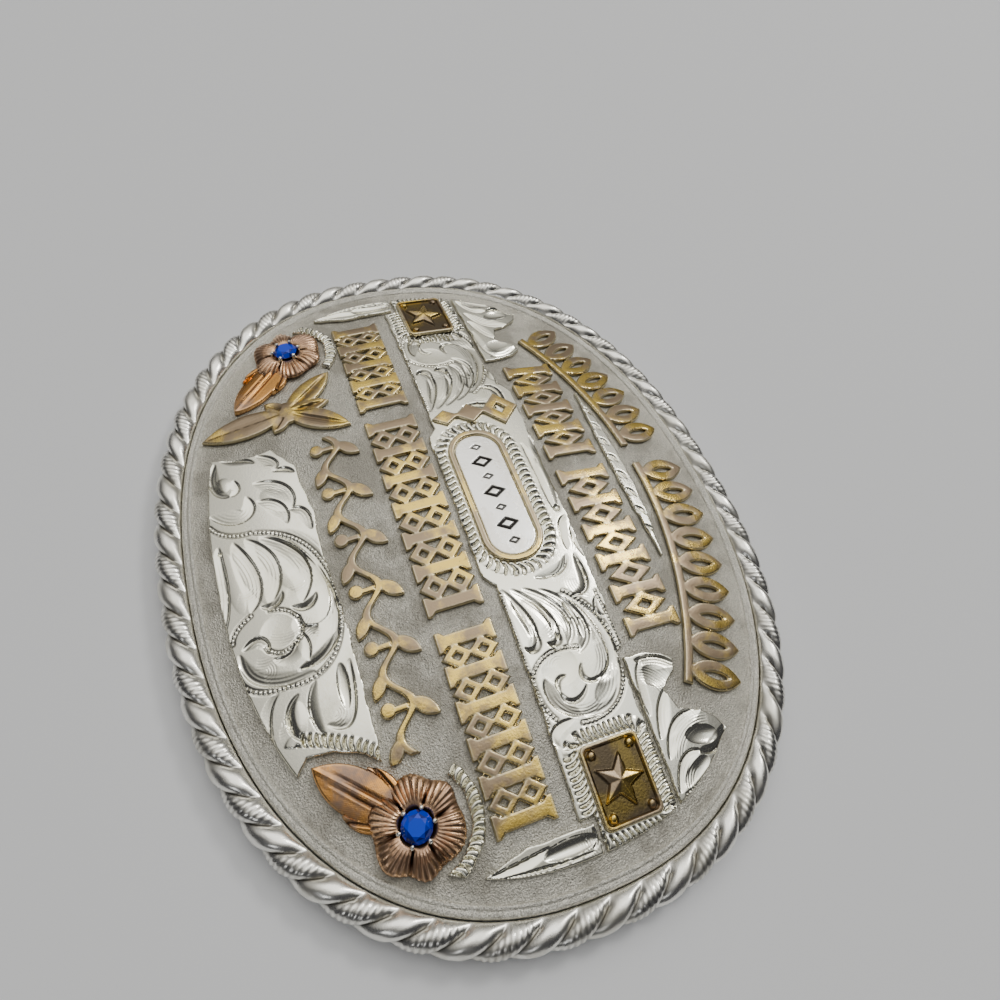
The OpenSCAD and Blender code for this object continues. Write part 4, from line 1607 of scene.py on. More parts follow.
@dataclass
class Ornaments:
    """The vine, the spray of leaves and the chain of lozenges.

    Attributes:
        vine: Lowest X, highest X and middle Y of the vine.
        spray: Root of the spray's leaves.
        leaves: Angle, length and width of each leaf of the spray, in the spray's own frame.
        tilt: Turn of the spray's frame in degrees.
        hub: Radius of the disc where the leaves meet.
        chain: Y, width and height of each lozenge, of which the first is pierced.
    """

    low: float = 0.05
    high: float = 0.65
    chain_low: float = 0.45
    chain_high: float = 0.93
    vine: Triple = (-15.4, 26.0, -14.7)
    waves: int = 6
    rise: float = 1.15
    stem: float = 0.5
    spray: Point = (-21.3, -18.6)
    leaves: tuple[Triple, ...] = (
        (-90, 11.8, 4.0), (54, 9.6, 3.4), (126, 9.6, 3.4), (-40, 4.2, 2.2), (220, 4.2, 2.2), (90, 6.4, 2.5),
    )
    tilt: float = 4.0
    hub: float = 1.9
    chain_x: float = -13.8
    chain: tuple[Triple, ...] = ((8.9, 5.6, 5.4), (4.6, 3.4, 4.4), (1.1, 2.6, 3.8))

    def vine_distance(self, x: Array, y: Array) -> Array:
        """Signed distance to a wavy stem with leaves and buds.

        Args:
            x: Places along X.
            y: Places along Y.

        Returns:
            Signed distance to the vine.
        """
        start, end, y0 = self.vine
        waves, rise = self.waves, self.rise
        length = (end - start) / waves
        u, v = x - start, y - y0
        turn = 2 * math.pi * u / length
        slope = rise * 2 * math.pi / length * np.cos(turn)
        best = (np.abs(v - rise * np.sin(turn)) - self.stem) / np.sqrt(1 + slope**2)
        best = np.maximum(best, np.maximum(-u, u - (end - start)))
        for k in range(waves):
            a, b = turned(u, v, ((k + 0.2) * length, rise - 0.2), 48)
            c, d = turned(u, v, ((k + 0.7) * length, -rise + 0.2), -32)
            bud = np.hypot(u - (k + 0.28) * length, v - rise + 2.7) - 0.85
            stalk = box_distance(u - (k + 0.3) * length, v - rise + 1.4, 0.7, 1.7)
            for part in (lens_distance(a, b, 3.6, 1.7), lens_distance(c, d, 3.2, 1.5), bud, stalk):
                best = np.minimum(best, part)
        return best

    def spray_distance(self, x: Array, y: Array) -> Array:
        """Signed distance to the spray of leaves.

        Args:
            x: Places along X.
            y: Places along Y.

        Returns:
            Signed distance to the spray.
        """
        u, v = turned(x, y, self.spray, self.tilt)
        best = np.hypot(u, v) - self.hub
        for angle, length, width in self.leaves:
            a, b = turned(u, v, (0, 0), angle)
            best = np.minimum(best, lens_distance(a + 0.6, b, length, width))
        return best

    def spray_cuts(self) -> list[Tool]:
        """Midribs of the spray's leaves.

        Returns:
            The cuts along the leaves.
        """
        cuts: list[Tool] = []
        x, y = self.spray
        for angle, length, width in self.leaves:
            a = math.radians(angle + self.tilt)
            points = tuple((x + r * math.cos(a), y + r * math.sin(a))
                           for r in (0.9, 0.35 * length, 0.6 * length, length - 1.2))
            cuts.append(Cut(points, 0.4 * width, 0.3, dark=0.55))
        return cuts

    def chain_distance(self, x: Array, y: Array) -> Array:
        """Signed distance to the chain of lozenges.

        Args:
            x: Places along X.
            y: Places along Y.

        Returns:
            Signed distance to the chain.
        """
        u = x - self.chain_x
        solids = [lozenge_distance(u, y - place, width, height) for place, width, height in self.chain]
        eye = -lozenge_distance(u, y - self.chain[0][0], 1.79, 1.73)
        link = box_distance(u, y - 3.9, 0.7, 6)
        return np.minimum.reduce([np.maximum(solids[0], eye), *solids[1:], link])

    def build(self) -> list[Piece]:
        """Builds the three ornaments.

        Returns:
            The new objects.
        """
        brass = {"metal": BRASS, "slot": Slot.BRASS, "cell": 0.09, "bevel": 0.17, "raised": worn}
        vine = Sheet("vine_ornament", self.vine_distance, (-15.6, 26.2, -18.3, -10.0), self.low, self.high,
                     pillow=0.06, **brass)
        spray = Sheet("leaf_ornament", self.spray_distance, (-28.6, -14.0, -31.0, -10.2),
                      self.low, self.high, pillow=0.12, tools=self.spray_cuts(), **brass)
        chain = Sheet("lozenge_chain", self.chain_distance, (-16.8, -10.8, -1.0, 11.8),
                      self.chain_low, self.chain_high, pillow=0.05, **brass)
        return [sheet.build() for sheet in (vine, spray, chain)]


@dataclass
class Label:
    """The long-sided oval label: a brass rim round a silver plate with a row of black lozenges.

    Attributes:
        roundness: Radius of the corners as a part of the height.
        tall: Height of a lozenge in widths.
        hole: Size of its opening as a part of the lozenge.
        ink_edge: Width over which the black fades out.
    """

    centre: Point = (-0.7, 3.35)
    width: float = 20.0
    height: float = 7.8
    roundness: float = 0.47
    rim: float = 0.85
    rim_h: float = 0.6
    plate_h: float = 0.36
    low: float = 0.45
    pitch: float = 2.4
    large: float = 1.9
    small: float = 1.0
    count: int = 7
    tall: float = 1.6
    hole: float = 0.5
    ink: float = 0.09
    ink_edge: float = 0.08
    metal: Metal = Metal(
        "label silver", (0.93, 0.92, 0.88), (0.84, 0.81, 0.74), (0.012, 0.011, 0.01),
        0.24, 0.34, stain_scale=300, stain_amount=0.45, grain=0.0003, bump=0.12, speck=0.55,
    )

    def distance(self, x: Array, y: Array, inset: float) -> Array:
        """Signed distance to the label's outline, moved inwards."""
        return box_distance(x - self.centre[0], y - self.centre[1], *label_box(-inset))

    def marks(self, relief: Relief, distance: Array) -> None:
        """Stamps a row of lozenges and fills them with black.

        Args:
            relief: The relief of the plate.
            distance: Distance to the plate's edge; not used.
        """
        u, v = relief.x - self.centre[0], relief.y - self.centre[1]
        best = np.full(u.shape, 9.0)
        for k in range(-(self.count // 2), self.count // 2 + 1):
            size = self.small if k % 2 else self.large
            hole = self.hole * size
            outer = lozenge_distance(u - self.pitch * k, v, size, self.tall * size)
            inner = lozenge_distance(u - self.pitch * k, v, hole, self.tall * hole)
            best = np.minimum(best, np.maximum(outer, -inner))
        ink = np.clip(0.5 - best / self.ink_edge, 0, 1)
        relief.lift -= self.ink * ink
        relief.recess[:] = np.maximum(relief.recess, ink)

    def build(self) -> list[Piece]:
        """Builds the rim and the plate.

        Returns:
            The new objects.
        """
        x, y = self.centre
        box = (x - self.width / 2, x + self.width / 2, y - self.height / 2, y + self.height / 2)
        gap = 0.05
        rim = Sheet("label_rim",
                    lambda a, b: np.maximum(self.distance(a, b, 0), -self.distance(a, b, self.rim)),
                    box, self.low, self.low + self.rim_h, BRASS, Slot.BRASS, cell=0.08, bevel=0.26)
        plate = Sheet("label_plate", lambda a, b: self.distance(a, b, self.rim + gap),
                      box, self.low, self.low + self.plate_h, self.metal, Slot.BRIGHT, cell=0.085,
                      raised=self.marks)
        return [rim.build(), plate.build()]


@dataclass
class EndPlates:
    """The brass plates at the ends, each with a raised border, a star and four studs.

    Attributes:
        base: How far the ground of the plate is sunk.
        wall: Width of the sunk ground's wall.
        star_y: Middle of the star above the plate's middle.
        star_r: Distance of the star's points from its middle.
        star_waist: Distance of its inner corners.
        star_fold: How far the folds between the points go down.
        ground_r: Radius of the sunk ground's corners.
        stud: Place of a stud beside and above the plate's middle.
    """

    centre: Point = (35.3, 4.85)
    width: float = 8.6
    height: float = 7.0
    corner: float = 0.8
    border: float = 0.5
    low: float = 0.45
    thick: float = 0.6
    base: float = 0.3
    wall: float = 0.22
    dark: float = 0.78
    star_y: float = -0.2
    star_r: float = 2.8
    star_waist: float = 1.25
    star_rise: float = 0.32
    star_fold: float = 0.62
    ground_r: float = 0.5
    stud: Point = (3.15, 2.3)
    stud_r: float = 0.42
    stud_rise: float = 0.12

    def star(self) -> list[Point]:
        """Corners of the five-pointed star.

        Returns:
            The corners.
        """
        corners = []
        points = 5
        for k in range(2 * points):
            angle = math.radians(90 + 180 / points * k)
            radius = self.star_waist if k % 2 else self.star_r
            corners.append((radius * math.cos(angle), self.star_y + radius * math.sin(angle)))
        return corners

    def facets(self, u: Array, v: Array) -> Array:
        """Height of the star's ten facets above its edge, as a share of the height in the middle.

        Args:
            u: Places along the plate's width.
            v: Places along the plate's height.

        Returns:
            The share, 0 outside the star.
        """
        angle = np.arctan2(v - self.star_y, u) - math.pi / 2
        fold = np.abs((angle / math.radians(72) + 0.5) % 1 - 0.5) * 2
        far = np.hypot(u, v - self.star_y)
        return np.clip(1 - far / self.star_r - self.star_fold * fold * far / self.star_waist, 0, 1)

    def recess(self, relief: Relief, side: int) -> None:
        """Sinks the ground round the star and its studs, and gives the star its facets.

        Args:
            relief: The relief of the plate.
            side: 1 for the right plate and -1 for the left one.
        """
        u, v = (relief.x - side * self.centre[0]) * side, relief.y - self.centre[1]
        width, height = self.width - 2 * self.border, self.height - 2 * self.border
        ground = box_distance(u, v, width, height, self.ground_r)
        star = polygon_distance(u, v, self.star())
        studs = np.hypot(np.abs(u) - self.stud[0], np.abs(v) - self.stud[1]) - self.stud_r
        figure = np.minimum(star, studs)
        sunk = np.clip(0.5 - np.maximum(ground, -figure) / self.wall, 0, 1)
        relief.lift -= self.base * sunk
        relief.lift += self.star_rise * self.facets(u, v) * (star < 0)
        relief.lift += self.stud_rise * np.sqrt(np.clip(-studs / self.stud_r, 0, 1))
        relief.recess[:] = np.maximum(relief.recess, self.dark * sunk**2)

    def build(self) -> list[Piece]:
        """Builds both plates.

        Returns:
            The new objects.
        """
        plates = []
        for name, side in (("end_plate_left", -1), ("end_plate_right", 1)):
            x, y = side * self.centre[0], self.centre[1]
            box = (x - self.width / 2, x + self.width / 2, y - self.height / 2, y + self.height / 2)
            plate = Sheet(name,
                          lambda a, b, x=x: box_distance(a - x, b - y, self.width, self.height, self.corner),
                          box, self.low, self.low + self.thick, BRASS, Slot.BRASS, cell=0.07, bevel=0.2,
                          raised=lambda relief, distance, side=side: self.recess(relief, side))
            plates.append(plate.build())
        return plates


# Plate and rope


def lathe(profile: Sequence[Point], steps: int) -> Shape:
    """Turns a profile of radius and height round Z.

    Args:
        profile: Radius and height of each point, from the axis to the axis or closed by itself.
        steps: Number of steps round.

    Returns:
        The closed shape.
    """
    rows = [*profile, profile[0]] if profile[0][0] > 0 else [*profile]
    bm = bmesh.new()
    bmesh.ops.create_grid(bm, x_segments=steps, y_segments=len(rows) - 1, size=1)
    co = coordinates(bm)
    turn = (co[:, 0] + 1) * math.pi
    number = np.rint((co[:, 1] + 1) / 2 * (len(rows) - 1)).astype(int)
    radius, height = np.array(rows)[number].T
    place_vertices(bm, np.stack([radius * np.cos(turn), radius * np.sin(turn), height], 1))
    bmesh.ops.remove_doubles(bm, verts=bm.verts, dist=1e-5)
    return bm


@dataclass
class Plate:
    """The domed plate with its matte border and bead.

    Attributes:
        border: Width of the bead's profile inside the outline.
    """

    steps: int = 480
    rings: int = 16
    border: float = 1.1
    sharp: float = 55.0

    def profile(self) -> list[tuple[float, float]]:
        """Distance outside the outline and height above the ground, from the border outwards.

        Returns:
            The profile's points.
        """
        wall = FACE.bead_w / 2
        return [
            (-self.border, 0.0), (-1.02, 0.02), (-0.94, 0.12), (-0.84, 0.24), (-0.72, 0.3), (-0.6, 0.31),
            (-0.5, 0.26), (-0.42, 0.22), (-0.34, 0.26), (-0.2, 0.33), (-0.05, FACE.bead_h), (0.08, 0.33),
            (0.18, 0.25), (0.25, 0.12), (wall, -0.02), (wall, -0.5), (wall, -FACE.plate_t),
        ]

    def build(self) -> Piece:
        """Builds the plate from the middle over the bead to the underside.

        Returns:
            The new object.
        """
        flat = [k / self.rings for k in range(self.rings + 1)]
        rows = [(part, 0.0, 0.0) for part in flat[:-1]]
        rows += [(1.0, out, above) for out, above in self.profile()]
        rows += [(part, 0.0, -FACE.plate_t) for part in reversed(flat[:-1])]
        last = len(rows) - 1
        bm = lathe([(0.0 if k in (0, last) else 1.0, float(k)) for k in range(len(rows))], self.steps)
        co = coordinates(bm)
        number = np.rint(co[:, 2]).astype(int)
        part, out, above = (np.array([row[i] for row in rows])[number] for i in range(3))
        angle = np.arctan2(co[:, 1], co[:, 0])
        x, y = FACE.rim_point(angle, out)
        inner_x, inner_y = FACE.rim_point(angle, -self.border)
        x, y = np.where(part < 1, inner_x * part, x), np.where(part < 1, inner_y * part, y)
        place_vertices(bm, np.stack([x, y, FACE.height(x, y, above)], 1))
        # The raised bead is painted brighter: worn metal, partly a painted highlight.
        wear_and_sheen_from, wear_and_sheen_over = 0.04, 0.12
        set_layer(bm, "edge", np.clip((above - wear_and_sheen_from) / wear_and_sheen_over, 0, 1))
        bmesh.ops.recalc_face_normals(bm, faces=bm.faces)
        piece = hand_in("face_plate_dressed", bm, MATTE_SILVER.material(), self.sharp)
        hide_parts("face_plate")
        return piece


@dataclass
class Rope:
    """The twisted rope edge, with plain and knurled strands by turns.

    Attributes:
        out: Distance of its centre line outside the face's outline.
        lean: Distance that a strand leans along the edge as it crosses the rope.
        valley: Depth of the valleys as a part of the radius.
        samples: Points at which the outline's length is measured.
        arc_points: Points of a section on the strands.
        knurl_lean: How far the knurling leans along the edge as it crosses the rope.
        knurl_depth: Depth of its grooves as a part of the radius.
        gap_w: Width of the darkened gaps between the strands, as a part of their crown.
    """

    radius: float = 1.75
    out: float = 1.85
    centre_z: float = 2.45
    pairs: int = 36
    lean: float = 4.6
    valley: float = 0.34
    steps: int = 2304
    samples: int = 1441
    arc_points: int = 34
    knurl_lean: float = 4.4
    knurl_pitch: float = 0.62
    knurl_depth: float = 0.05
    knurl_dark: float = 0.5
    gap_w: float = 0.34
    gap_dark: float = 0.85
    sharp: float = 70.0

    def section(self) -> list[tuple[float, float, float, float]]:
        """Rows of distance out, height, share of the lean and share of the valley.

        Returns:
            The rows.
        """
        wall = -self.out + FACE.bead_w / 2 + 0.1
        start, end = math.acos(wall / self.radius), math.radians(-45)
        rows = [(wall, 0.0, 0.0, 0.0), (wall, self.centre_z, 0.0, 0.0)]
        for k in range(self.arc_points):
            q = k / (self.arc_points - 1)
            a = start + (end - start) * q
            rows.append((self.radius * math.cos(a), self.centre_z + self.radius * math.sin(a), q,
                         min(1.0, 5 * q, 5 * (1 - q))))
        rows.append((self.radius * math.cos(end), 0.0, 1.0, 0.0))
        return rows

    def build(self) -> Piece:
        """Builds the rope as one ring swept round the outline.

        Returns:
            The new object.
        """
        rows = self.section()
        ring_r = 10.0
        turns = [2 * math.pi * k / len(rows) for k in range(len(rows))]
        bm = lathe([(ring_r + math.cos(turn), math.sin(turn)) for turn in turns], self.steps)
        co = coordinates(bm)
        turn = np.arctan2(co[:, 2], np.hypot(co[:, 0], co[:, 1]) - ring_r)
        number = np.rint(turn / (2 * math.pi) * len(rows)).astype(int) % len(rows)
        out, z, q, valley = (np.array([row[i] for row in rows])[number] for i in range(4))
        share = (np.arctan2(co[:, 1], co[:, 0]) / (2 * math.pi)) % 1
        angles = np.linspace(0, 2 * math.pi, self.samples)
        px, py = FACE.rim_point(angles, self.out)
        lengths = np.concatenate([[0], np.cumsum(np.hypot(np.diff(px), np.diff(py)))])
        total = lengths[-1]
        s = (share * total - self.lean * q) % total
        place = np.interp(s, lengths, angles)
        x, y = FACE.rim_point(place, self.out)
        nx, ny = FACE.rim_normal(x, y, self.out)
        strand = share * self.pairs * 2
        inside = strand % 1
        knurled = np.floor(strand + 1e-6) % 2
        crown = np.sin(math.pi * inside)
        scale = 1 - valley * self.valley * (1 - crown) ** 1.5
        across = (share * total - self.knurl_lean * q) / self.knurl_pitch
        groove = 0.5 + 0.5 * np.cos(2 * math.pi * across)
        ends = np.clip(3.2 * inside, 0, 1) * np.clip(3.2 * (1 - inside), 0, 1)
        cut = knurled * valley * ends * groove**1.5
        scale -= self.knurl_depth * cut
        off = out * scale
        height = np.where(z <= 0, 0, self.centre_z + (z - self.centre_z) * scale)
        place_vertices(bm, np.stack([x + nx * off, y + ny * off, height], 1))
        gap = np.clip(1 - crown / self.gap_w, 0, 1) * valley
        set_layer(bm, "recess", np.clip(self.gap_dark * gap**1.2 + self.knurl_dark * cut, 0, 1))
        bmesh.ops.recalc_face_normals(bm, faces=bm.faces)
        piece = hand_in("rope_edge_dressed", bm, ROPE_SILVER.material(), self.sharp)
        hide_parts("rope_edge")
        return piece


# Flowers and stones


@dataclass
class Flower:
    """A copper flower with its leaves, the silver prongs and the blue stone.

    Attributes:
        side: 1 on the right and -1 on the left.
        leaves: Turn, root, tip and width of each leaf; the tips in lengths of the long leaf.
        facets: Number, turn, radius and height of the stone's rings of corners; the radii in parts
            of the stone's.
    """

    side: int = 1
    centre: Point = (32.4, -16.4)
    radius: float = 4.7
    leaf_l: float = 12.2
    leaves: tuple[tuple[float, float, float, float], ...] = (
        (0, 1.5, 1.0, 4.6), (19, 2.0, 0.62, 2.6), (-19, 2.0, 0.62, 2.6),
    )
    leaf_low: float = 0.05
    leaf_high: float = 0.62
    stone_r: float = 1.6
    flutes: int = 48
    petals: int = 6
    prongs: int = 6
    facets: tuple[tuple[int, float, float, float], ...] = (
        (8, 0.0, 0.56, 2.0), (8, 22.5, 0.8, 1.82), (16, 11.25, 1.0, 1.42), (16, 11.25, 1.0, 1.34),
        (8, 0.0, 0.6, 0.98),
    )

    @property
    def word(self) -> str:
        """The side in words, as the nodes have it."""
        return "right" if self.side > 0 else "left"

    def stand(self, bm: Shape) -> None:
        """Stands a shape on the face, square to it, and mirrors it on the left side.

        Args:
            bm: The shape, which is changed.
        """
        x, y = self.centre
        tilt = Euler((-math.asin(y / FACE.radius_y), math.asin(x / FACE.radius_x), 0)).to_matrix().to_4x4()
        z = float(FACE.height(np.array(x), np.array(y)))
        bmesh.ops.transform(bm, matrix=Matrix.Translation((x, y, z)) @ tilt, verts=bm.verts)
        if self.side < 0:
            bmesh.ops.scale(bm, vec=(-1, 1, 1), verts=bm.verts)
            bmesh.ops.reverse_faces(bm, faces=bm.faces)

    def head(self) -> Piece:
        """Builds the fluted head.

        Returns:
            The new object.
        """
        steps, rings = 10, 26
        flute_h, petal_h, slot_h, notch_h = 0.09, 0.2, 0.3, 0.14
        hollow, hollow_dark = 0.4, 0.8
        top = [(0.0, 0.8), (0.32, 0.8), (0.36, 1.0), (0.42, 1.26), (0.54, 1.36), (0.68, 1.32), (0.8, 1.16),
               (0.9, 0.95), (0.97, 0.74), (1.0, 0.55)]
        radii = np.concatenate([[0.0], np.linspace(0.2, 1.0, rings)])
        heights = np.interp(radii, [p[0] for p in top], [p[1] for p in top])
        profile = [(float(r), float(z)) for r, z in zip(radii, heights)]
        profile += [(0.985, 0.38), (0.93, 0.2), (0.0, 0.12)]
        bm = lathe(profile, steps * self.flutes)
        bmesh.ops.recalc_face_normals(bm, faces=bm.faces)
        co = coordinates(bm)
        r, a, z = np.hypot(co[:, 0], co[:, 1]), np.arctan2(co[:, 1], co[:, 0]), co[:, 2]
        bent = a + 0.1 * np.sin(2 * a + 0.8) + 0.06 * np.sin(3 * a)
        petal = np.cos(self.petals * bent)
        notch = np.clip((-petal - 0.6) / 0.4, 0, 1)
        upper = np.clip((z - 0.3) / 0.25, 0, 1) * np.clip((r - 0.4) / 0.08, 0, 1)
        ridge = 1 - 2 * np.abs(np.sin(self.flutes * a / 2))
        plain = 0.5 + 0.35 * np.cos(2 * a - 0.9) + 0.15 * np.cos(5 * a + 2)
        flute = ridge * (0.35 + 0.65 * plain) * np.clip((r - 0.42) / 0.2, 0, 1)
        between = np.abs((self.petals * bent / (2 * math.pi)) % 1 - 0.5)
        slot = np.clip(1 - between / (0.13 - 0.09 * r), 0, 1)
        slot = slot * np.clip((r - 0.36) / 0.05, 0, 1) * np.clip((0.86 - r) / 0.3, 0, 1)
        wide = self.radius * r * (1 + 0.055 * r * petal + 0.01 * r * ridge * plain)
        lift = upper * (flute_h * flute + petal_h * r**2 * petal - slot_h * slot - notch_h * notch * r)
        place_vertices(bm, np.stack([wide * np.cos(a), wide * np.sin(a), z + lift], 1))
        dark = np.clip(0.5 * np.clip(-flute, 0, 1) + 0.95 * slot + 0.35 * notch * upper, 0, 1)
        dark = np.maximum(dark, np.clip((hollow - r) / 0.05, 0, 1) * hollow_dark)
        set_layer(bm, "recess", dark * np.clip((z - 0.3) / 0.2, 0, 1))
        # Flute ridges painted brighter: worn metal, partly a painted highlight.
        set_layer(bm, "edge", np.clip(flute, 0, 1) * upper)
        self.stand(bm)
        piece = hand_in(f"flower_head_{self.word}", bm, COPPER.material(), 60)
        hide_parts(f"flower_{self.word}")
        return piece

    def leaf(self) -> Piece:
        """Builds the long leaf with its two side leaves.

        Returns:
            The new object.
        """
        place = (self.side * self.centre[0], self.centre[1])
        long = -135 if self.side > 0 else -45
        vault_h, rib_h, rib_w, furrow_h, curl_h = 0.24, 0.12, 0.35, 0.18, 0.2
        vein_h, vein_slant, vein_pitch = 0.012, 1.6, 0.34

        def parts(x: Array, y: Array) -> list[tuple[Array, Array, Array, float]]:
            """Places along and across each leaf, its distance and its width.

            Args:
                x: Places along X.
                y: Places along Y.

            Returns:
                A row for each leaf.
            """
            rows = []
            for turn, start, tip, width in self.leaves:
                u, v = turned(x, y, place, long + turn)
                length = tip * self.leaf_l - start
                rows.append((u - start, v, lens_distance(u - start, v, length, width), width))
            return rows

        def outline(x: Array, y: Array) -> Array:
            """Signed distance to the leaves."""
            return np.minimum.reduce([row[2] for row in parts(x, y)])

        def veined(relief: Relief, distance: Array) -> None:
            """Raises the midribs and cuts the veins.

            Args:
                relief: The relief of the leaves.
                distance: Distance to their edge; not used.
            """
            for u, v, away, width in reversed(parts(relief.x, relief.y)):
                inside = away < 0
                share = np.clip(np.abs(v) / (width / 2), 0, 1)
                rib = np.clip(1 - np.abs(v) / rib_w, 0, 1)
                vein = 0.5 + 0.5 * np.cos(2 * math.pi * (u - vein_slant * np.abs(v)) / vein_pitch)
                root = np.clip((0.72 * self.leaf_l - u) / (0.3 * self.leaf_l), 0, 1)
                furrow = np.clip(1 - np.abs(np.abs(v) - 0.5) / 0.28, 0, 1) * root
                curl = curl_h * np.clip(share - 0.45, 0, 1) * (v > 0)
                lift = vault_h * (1 - share**2) - furrow_h * furrow + curl + rib_h * rib
                relief.lift[:] = np.where(inside, lift - vein_h * vein * root, relief.lift)
                dark = 0.85 * furrow + 0.2 * vein * root + 0.3 * root * share
                relief.recess[:] = np.where(inside, dark * np.clip(1.2 - rib, 0, 1), relief.recess)

        reach = self.leaf_l / math.sqrt(2)
        tip = place[0] - self.side * reach
        box = (min(tip, place[0]) - 1.8, max(tip, place[0]) + 1.8, place[1] - reach - 1.8, place[1] + 1.5)
        sheet = Sheet(f"flower_leaf_{self.word}", outline, box, self.leaf_low, self.leaf_high, LEAF_COPPER,
                      Slot.COPPER, cell=0.07, bevel=0.22, raised=veined, nodes=(f"flower_{self.word}",))
        return sheet.build()

    def claws(self) -> Piece:
        """Builds the silver prongs round the stone.

        Returns:
            The new object.
        """
        profile = [(0.0, 0.5), (0.27, 0.5), (0.27, 1.45), (0.25, 1.66), (0.16, 1.8), (0.0, 1.85)]
        steps, bend, bend_from, outside = 12, 0.32, 1.2, 0.33
        bm = bmesh.new()
        for k in range(self.prongs):
            claw = lathe(profile, steps)
            for vertex in claw.verts:
                vertex.co.x -= bend * max(0.0, vertex.co.z - bend_from) ** 1.5
            angle = math.radians(360 * (k + 0.5) / self.prongs)
            move = Matrix.Rotation(angle, 4, "Z") @ Matrix.Translation((self.stone_r + outside, 0, 0))
            bmesh.ops.transform(claw, matrix=move, verts=claw.verts)
            mesh = bpy.data.meshes.new("claw")
            claw.to_mesh(mesh)
            claw.free()
            bm.from_mesh(mesh)
            bpy.data.meshes.remove(mesh)
        bmesh.ops.recalc_face_normals(bm, faces=bm.faces)
        self.stand(bm)
        return hand_in(f"stone_prongs_{self.word}", bm, ROPE_SILVER.material(), 50)

    def stone(self) -> Piece:
        """Builds the cut stone: table, star, kite, girdle and pavilion facets.

        Returns:
            The new object.
        """
        bm = bmesh.new()
        for count, turn, part, z in self.facets:
            for k in range(count):
                a = math.radians(turn + 360 * k / count)
                bm.verts.new((self.stone_r * part * math.cos(a), self.stone_r * part * math.sin(a), z))
        bmesh.ops.convex_hull(bm, input=bm.verts)
        bmesh.ops.dissolve_limit(bm, angle_limit=math.radians(1), verts=bm.verts, edges=bm.edges)
        # Every facet gets its own tone of painted sparkle at random.
        layer = bm.faces.layers.float.new("painted_sparkle")
        for number, face in enumerate(bm.faces):
            face[layer] = (0.37 + 0.618 * number) % 1
        self.stand(bm)
        piece = hand_in(f"cut_stone_{self.word}", bm, GEM.material(), 0)
        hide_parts(f"stone_{self.word}")
        return piece

    def build(self) -> list[Piece]:
        """Builds every piece of the flower."""
        return [self.head(), self.leaf(), self.claws(), self.stone()]


# Back and studio


@dataclass
class Back:
    """The plain hardware on the back, which keeps its imported shape."""

    names: tuple[str, ...] = ("belt_loop", "belt_post")
    metal: Metal = NICKEL

    def dress(self, nodes: dict[str, Piece]) -> list[Piece]:
        """Gives the nodes their finish.

        Args:
            nodes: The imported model's nodes by name.

        Returns:
            The dressed nodes.
        """
        dressed = [nodes[name] for name in self.names]
        for node in dressed:
            node.data.materials.clear()
            node.data.materials.append(self.metal.material())
        return dressed


@dataclass(frozen=True)
class Lamp:
    """A soft square lamp that points at the buckle.

    Attributes:
        power: Its power in watts.
    """

    name: str
    place: Triple
    size: float
    power: float
    colour: Triple

    def build(self) -> None:
        """Hangs the lamp."""
        data = bpy.data.lights.new(self.name, "AREA")
        data.size = self.size
        data.energy = self.power
        data.color = self.colour
        lamp = bpy.data.objects.new(self.name, data)
        lamp.location = self.place
        lamp.rotation_euler = (-Vector(self.place)).to_track_quat("-Z", "Y").to_euler()
        bpy.context.scene.collection.objects.link(lamp)


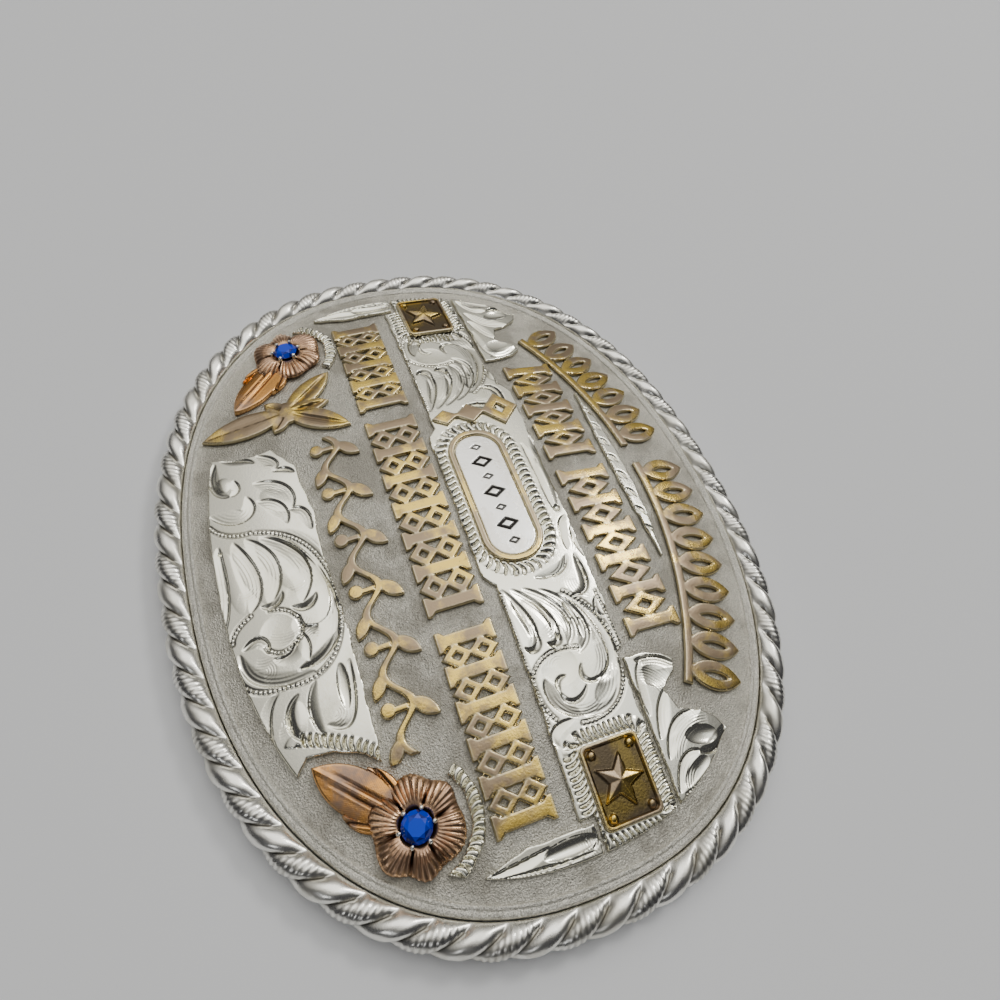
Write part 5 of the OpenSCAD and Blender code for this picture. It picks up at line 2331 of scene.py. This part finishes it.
@dataclass
class Studio:
    """Camera, floor and lights.

    Attributes:
        place: Place of the camera in metres.
        turn: Rotation vector of the camera.
        focal: Focal length as a part of the picture's width.
        clip_start: Nearest distance that the camera sees, in metres.
        bright_side: Direction of the brightest part of the ceiling.
        sky_dark: Colour of the room near the floor.
        sky_bright: Colour of the brightest part of the ceiling.
        sky_from: Where the bright part of the ceiling begins, as the cosine of its angle.
    """

    place: Triple = (0.04061, -0.02104, 0.07969)
    turn: Triple = (0.5737, 0.2364, 1.2169)
    focal: float = 0.68456
    sensor: float = 36.0
    clip_start: float = 0.003
    floor_size: float = 3.0
    floor_colour: Triple = (0.8, 0.81, 0.83)
    floor_rough: float = 0.75
    bright_side: Triple = (-0.4, 0.08, 0.88)
    sky_dark: Triple = (0.05, 0.05, 0.055)
    sky_bright: Triple = (1.0, 0.98, 0.93)
    sky_from: float = 0.5
    sky_strength: float = 0.95
    lamps: tuple[Lamp, ...] = (
        Lamp("window", (-0.42, 0.04, 1.1), 0.98, 2.95, (1.0, 0.985, 0.95)),
        Lamp("side_window", (0.02, 0.5, 1.15), 0.6, 0.95, (0.94, 0.975, 1.0)),
        Lamp("key", (-0.35, 0.75, 0.95), 0.24, 3.4, (1.0, 0.985, 0.96)),
        Lamp("fill", (0.7, -0.7, 0.7), 0.3, 0.7, (0.95, 0.97, 1.0)),
    )

    def camera(self) -> None:
        """Stands the camera where the photograph was taken from."""
        data = bpy.data.cameras.new("camera")
        data.sensor_width = self.sensor
        data.lens = self.focal * self.sensor
        data.clip_start = self.clip_start
        camera = bpy.data.objects.new("camera", data)
        axis = Vector(self.turn)
        rotation = Matrix.Rotation(axis.length, 4, axis.normalized())
        camera.matrix_world = Matrix.Translation(self.place) @ rotation
        bpy.context.scene.collection.objects.link(camera)
        bpy.context.scene.camera = camera

    def floor(self) -> None:
        """Lays the plain pale floor."""
        bm = bmesh.new()
        bmesh.ops.create_grid(bm, x_segments=2, y_segments=2, size=self.floor_size)
        mesh = bpy.data.meshes.new("floor")
        bm.to_mesh(mesh)
        bm.free()
        material = bpy.data.materials.new("pale floor")
        material.use_nodes = True
        shader = material.node_tree.nodes["Principled BSDF"]
        shader.inputs["Base Color"].default_value = (*self.floor_colour, 1)
        shader.inputs["Roughness"].default_value = self.floor_rough
        mesh.materials.append(material)
        floor = bpy.data.objects.new("floor", mesh)
        bpy.context.scene.collection.objects.link(floor)

    def sky(self) -> None:
        """Fills the room with a soft light, bright on one side of the ceiling and dark near the floor."""
        world = bpy.data.worlds.new("studio")
        bpy.context.scene.world = world
        world.use_nodes = True
        tree = world.node_tree
        place = tree.nodes.new("ShaderNodeTexCoord")
        toward = tree.nodes.new("ShaderNodeVectorMath")
        toward.operation = "DOT_PRODUCT"
        toward.inputs[1].default_value = Vector(self.bright_side).normalized()
        ramp = tree.nodes.new("ShaderNodeValToRGB")
        tree.links.new(place.outputs["Generated"], toward.inputs[0])
        tree.links.new(toward.outputs["Value"], ramp.inputs["Fac"])
        ramp.color_ramp.interpolation = "EASE"
        ramp.color_ramp.elements[0].color = (*self.sky_dark, 1)
        ramp.color_ramp.elements[0].position = self.sky_from
        ramp.color_ramp.elements[1].color = (*self.sky_bright, 1)
        ramp.color_ramp.elements[1].position = 1.0
        tree.links.new(ramp.outputs["Color"], tree.nodes["Background"].inputs["Color"])
        tree.nodes["Background"].inputs["Strength"].default_value = self.sky_strength

    def build(self) -> None:
        """Sets up the whole studio."""
        self.camera()
        self.floor()
        self.sky()
        for lamp in self.lamps:
            lamp.build()


def main() -> None:
    """Builds the studio and every piece, and reports each one."""
    logging.basicConfig(level=logging.INFO, format="%(name)s: %(message)s")
    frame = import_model()
    Studio().build()
    pieces: list[Piece] = [Plate().build(), Rope().build()]
    pieces += Panels().build()
    pieces += Strips().build()
    pieces += Ornaments().build()
    pieces += Label().build()
    pieces += EndPlates().build()
    for side in (1, -1):
        pieces += Flower(side=side).build()
    pieces += Back().dress(frame["nodes"])
    for piece in pieces:
        LOG.info("%s: %d faces", piece.name, len(piece.data.polygons))
    LOG.info("%d pieces, %d faces", len(pieces), sum(len(piece.data.polygons) for piece in pieces))


if __name__ == "__main__":
    main()
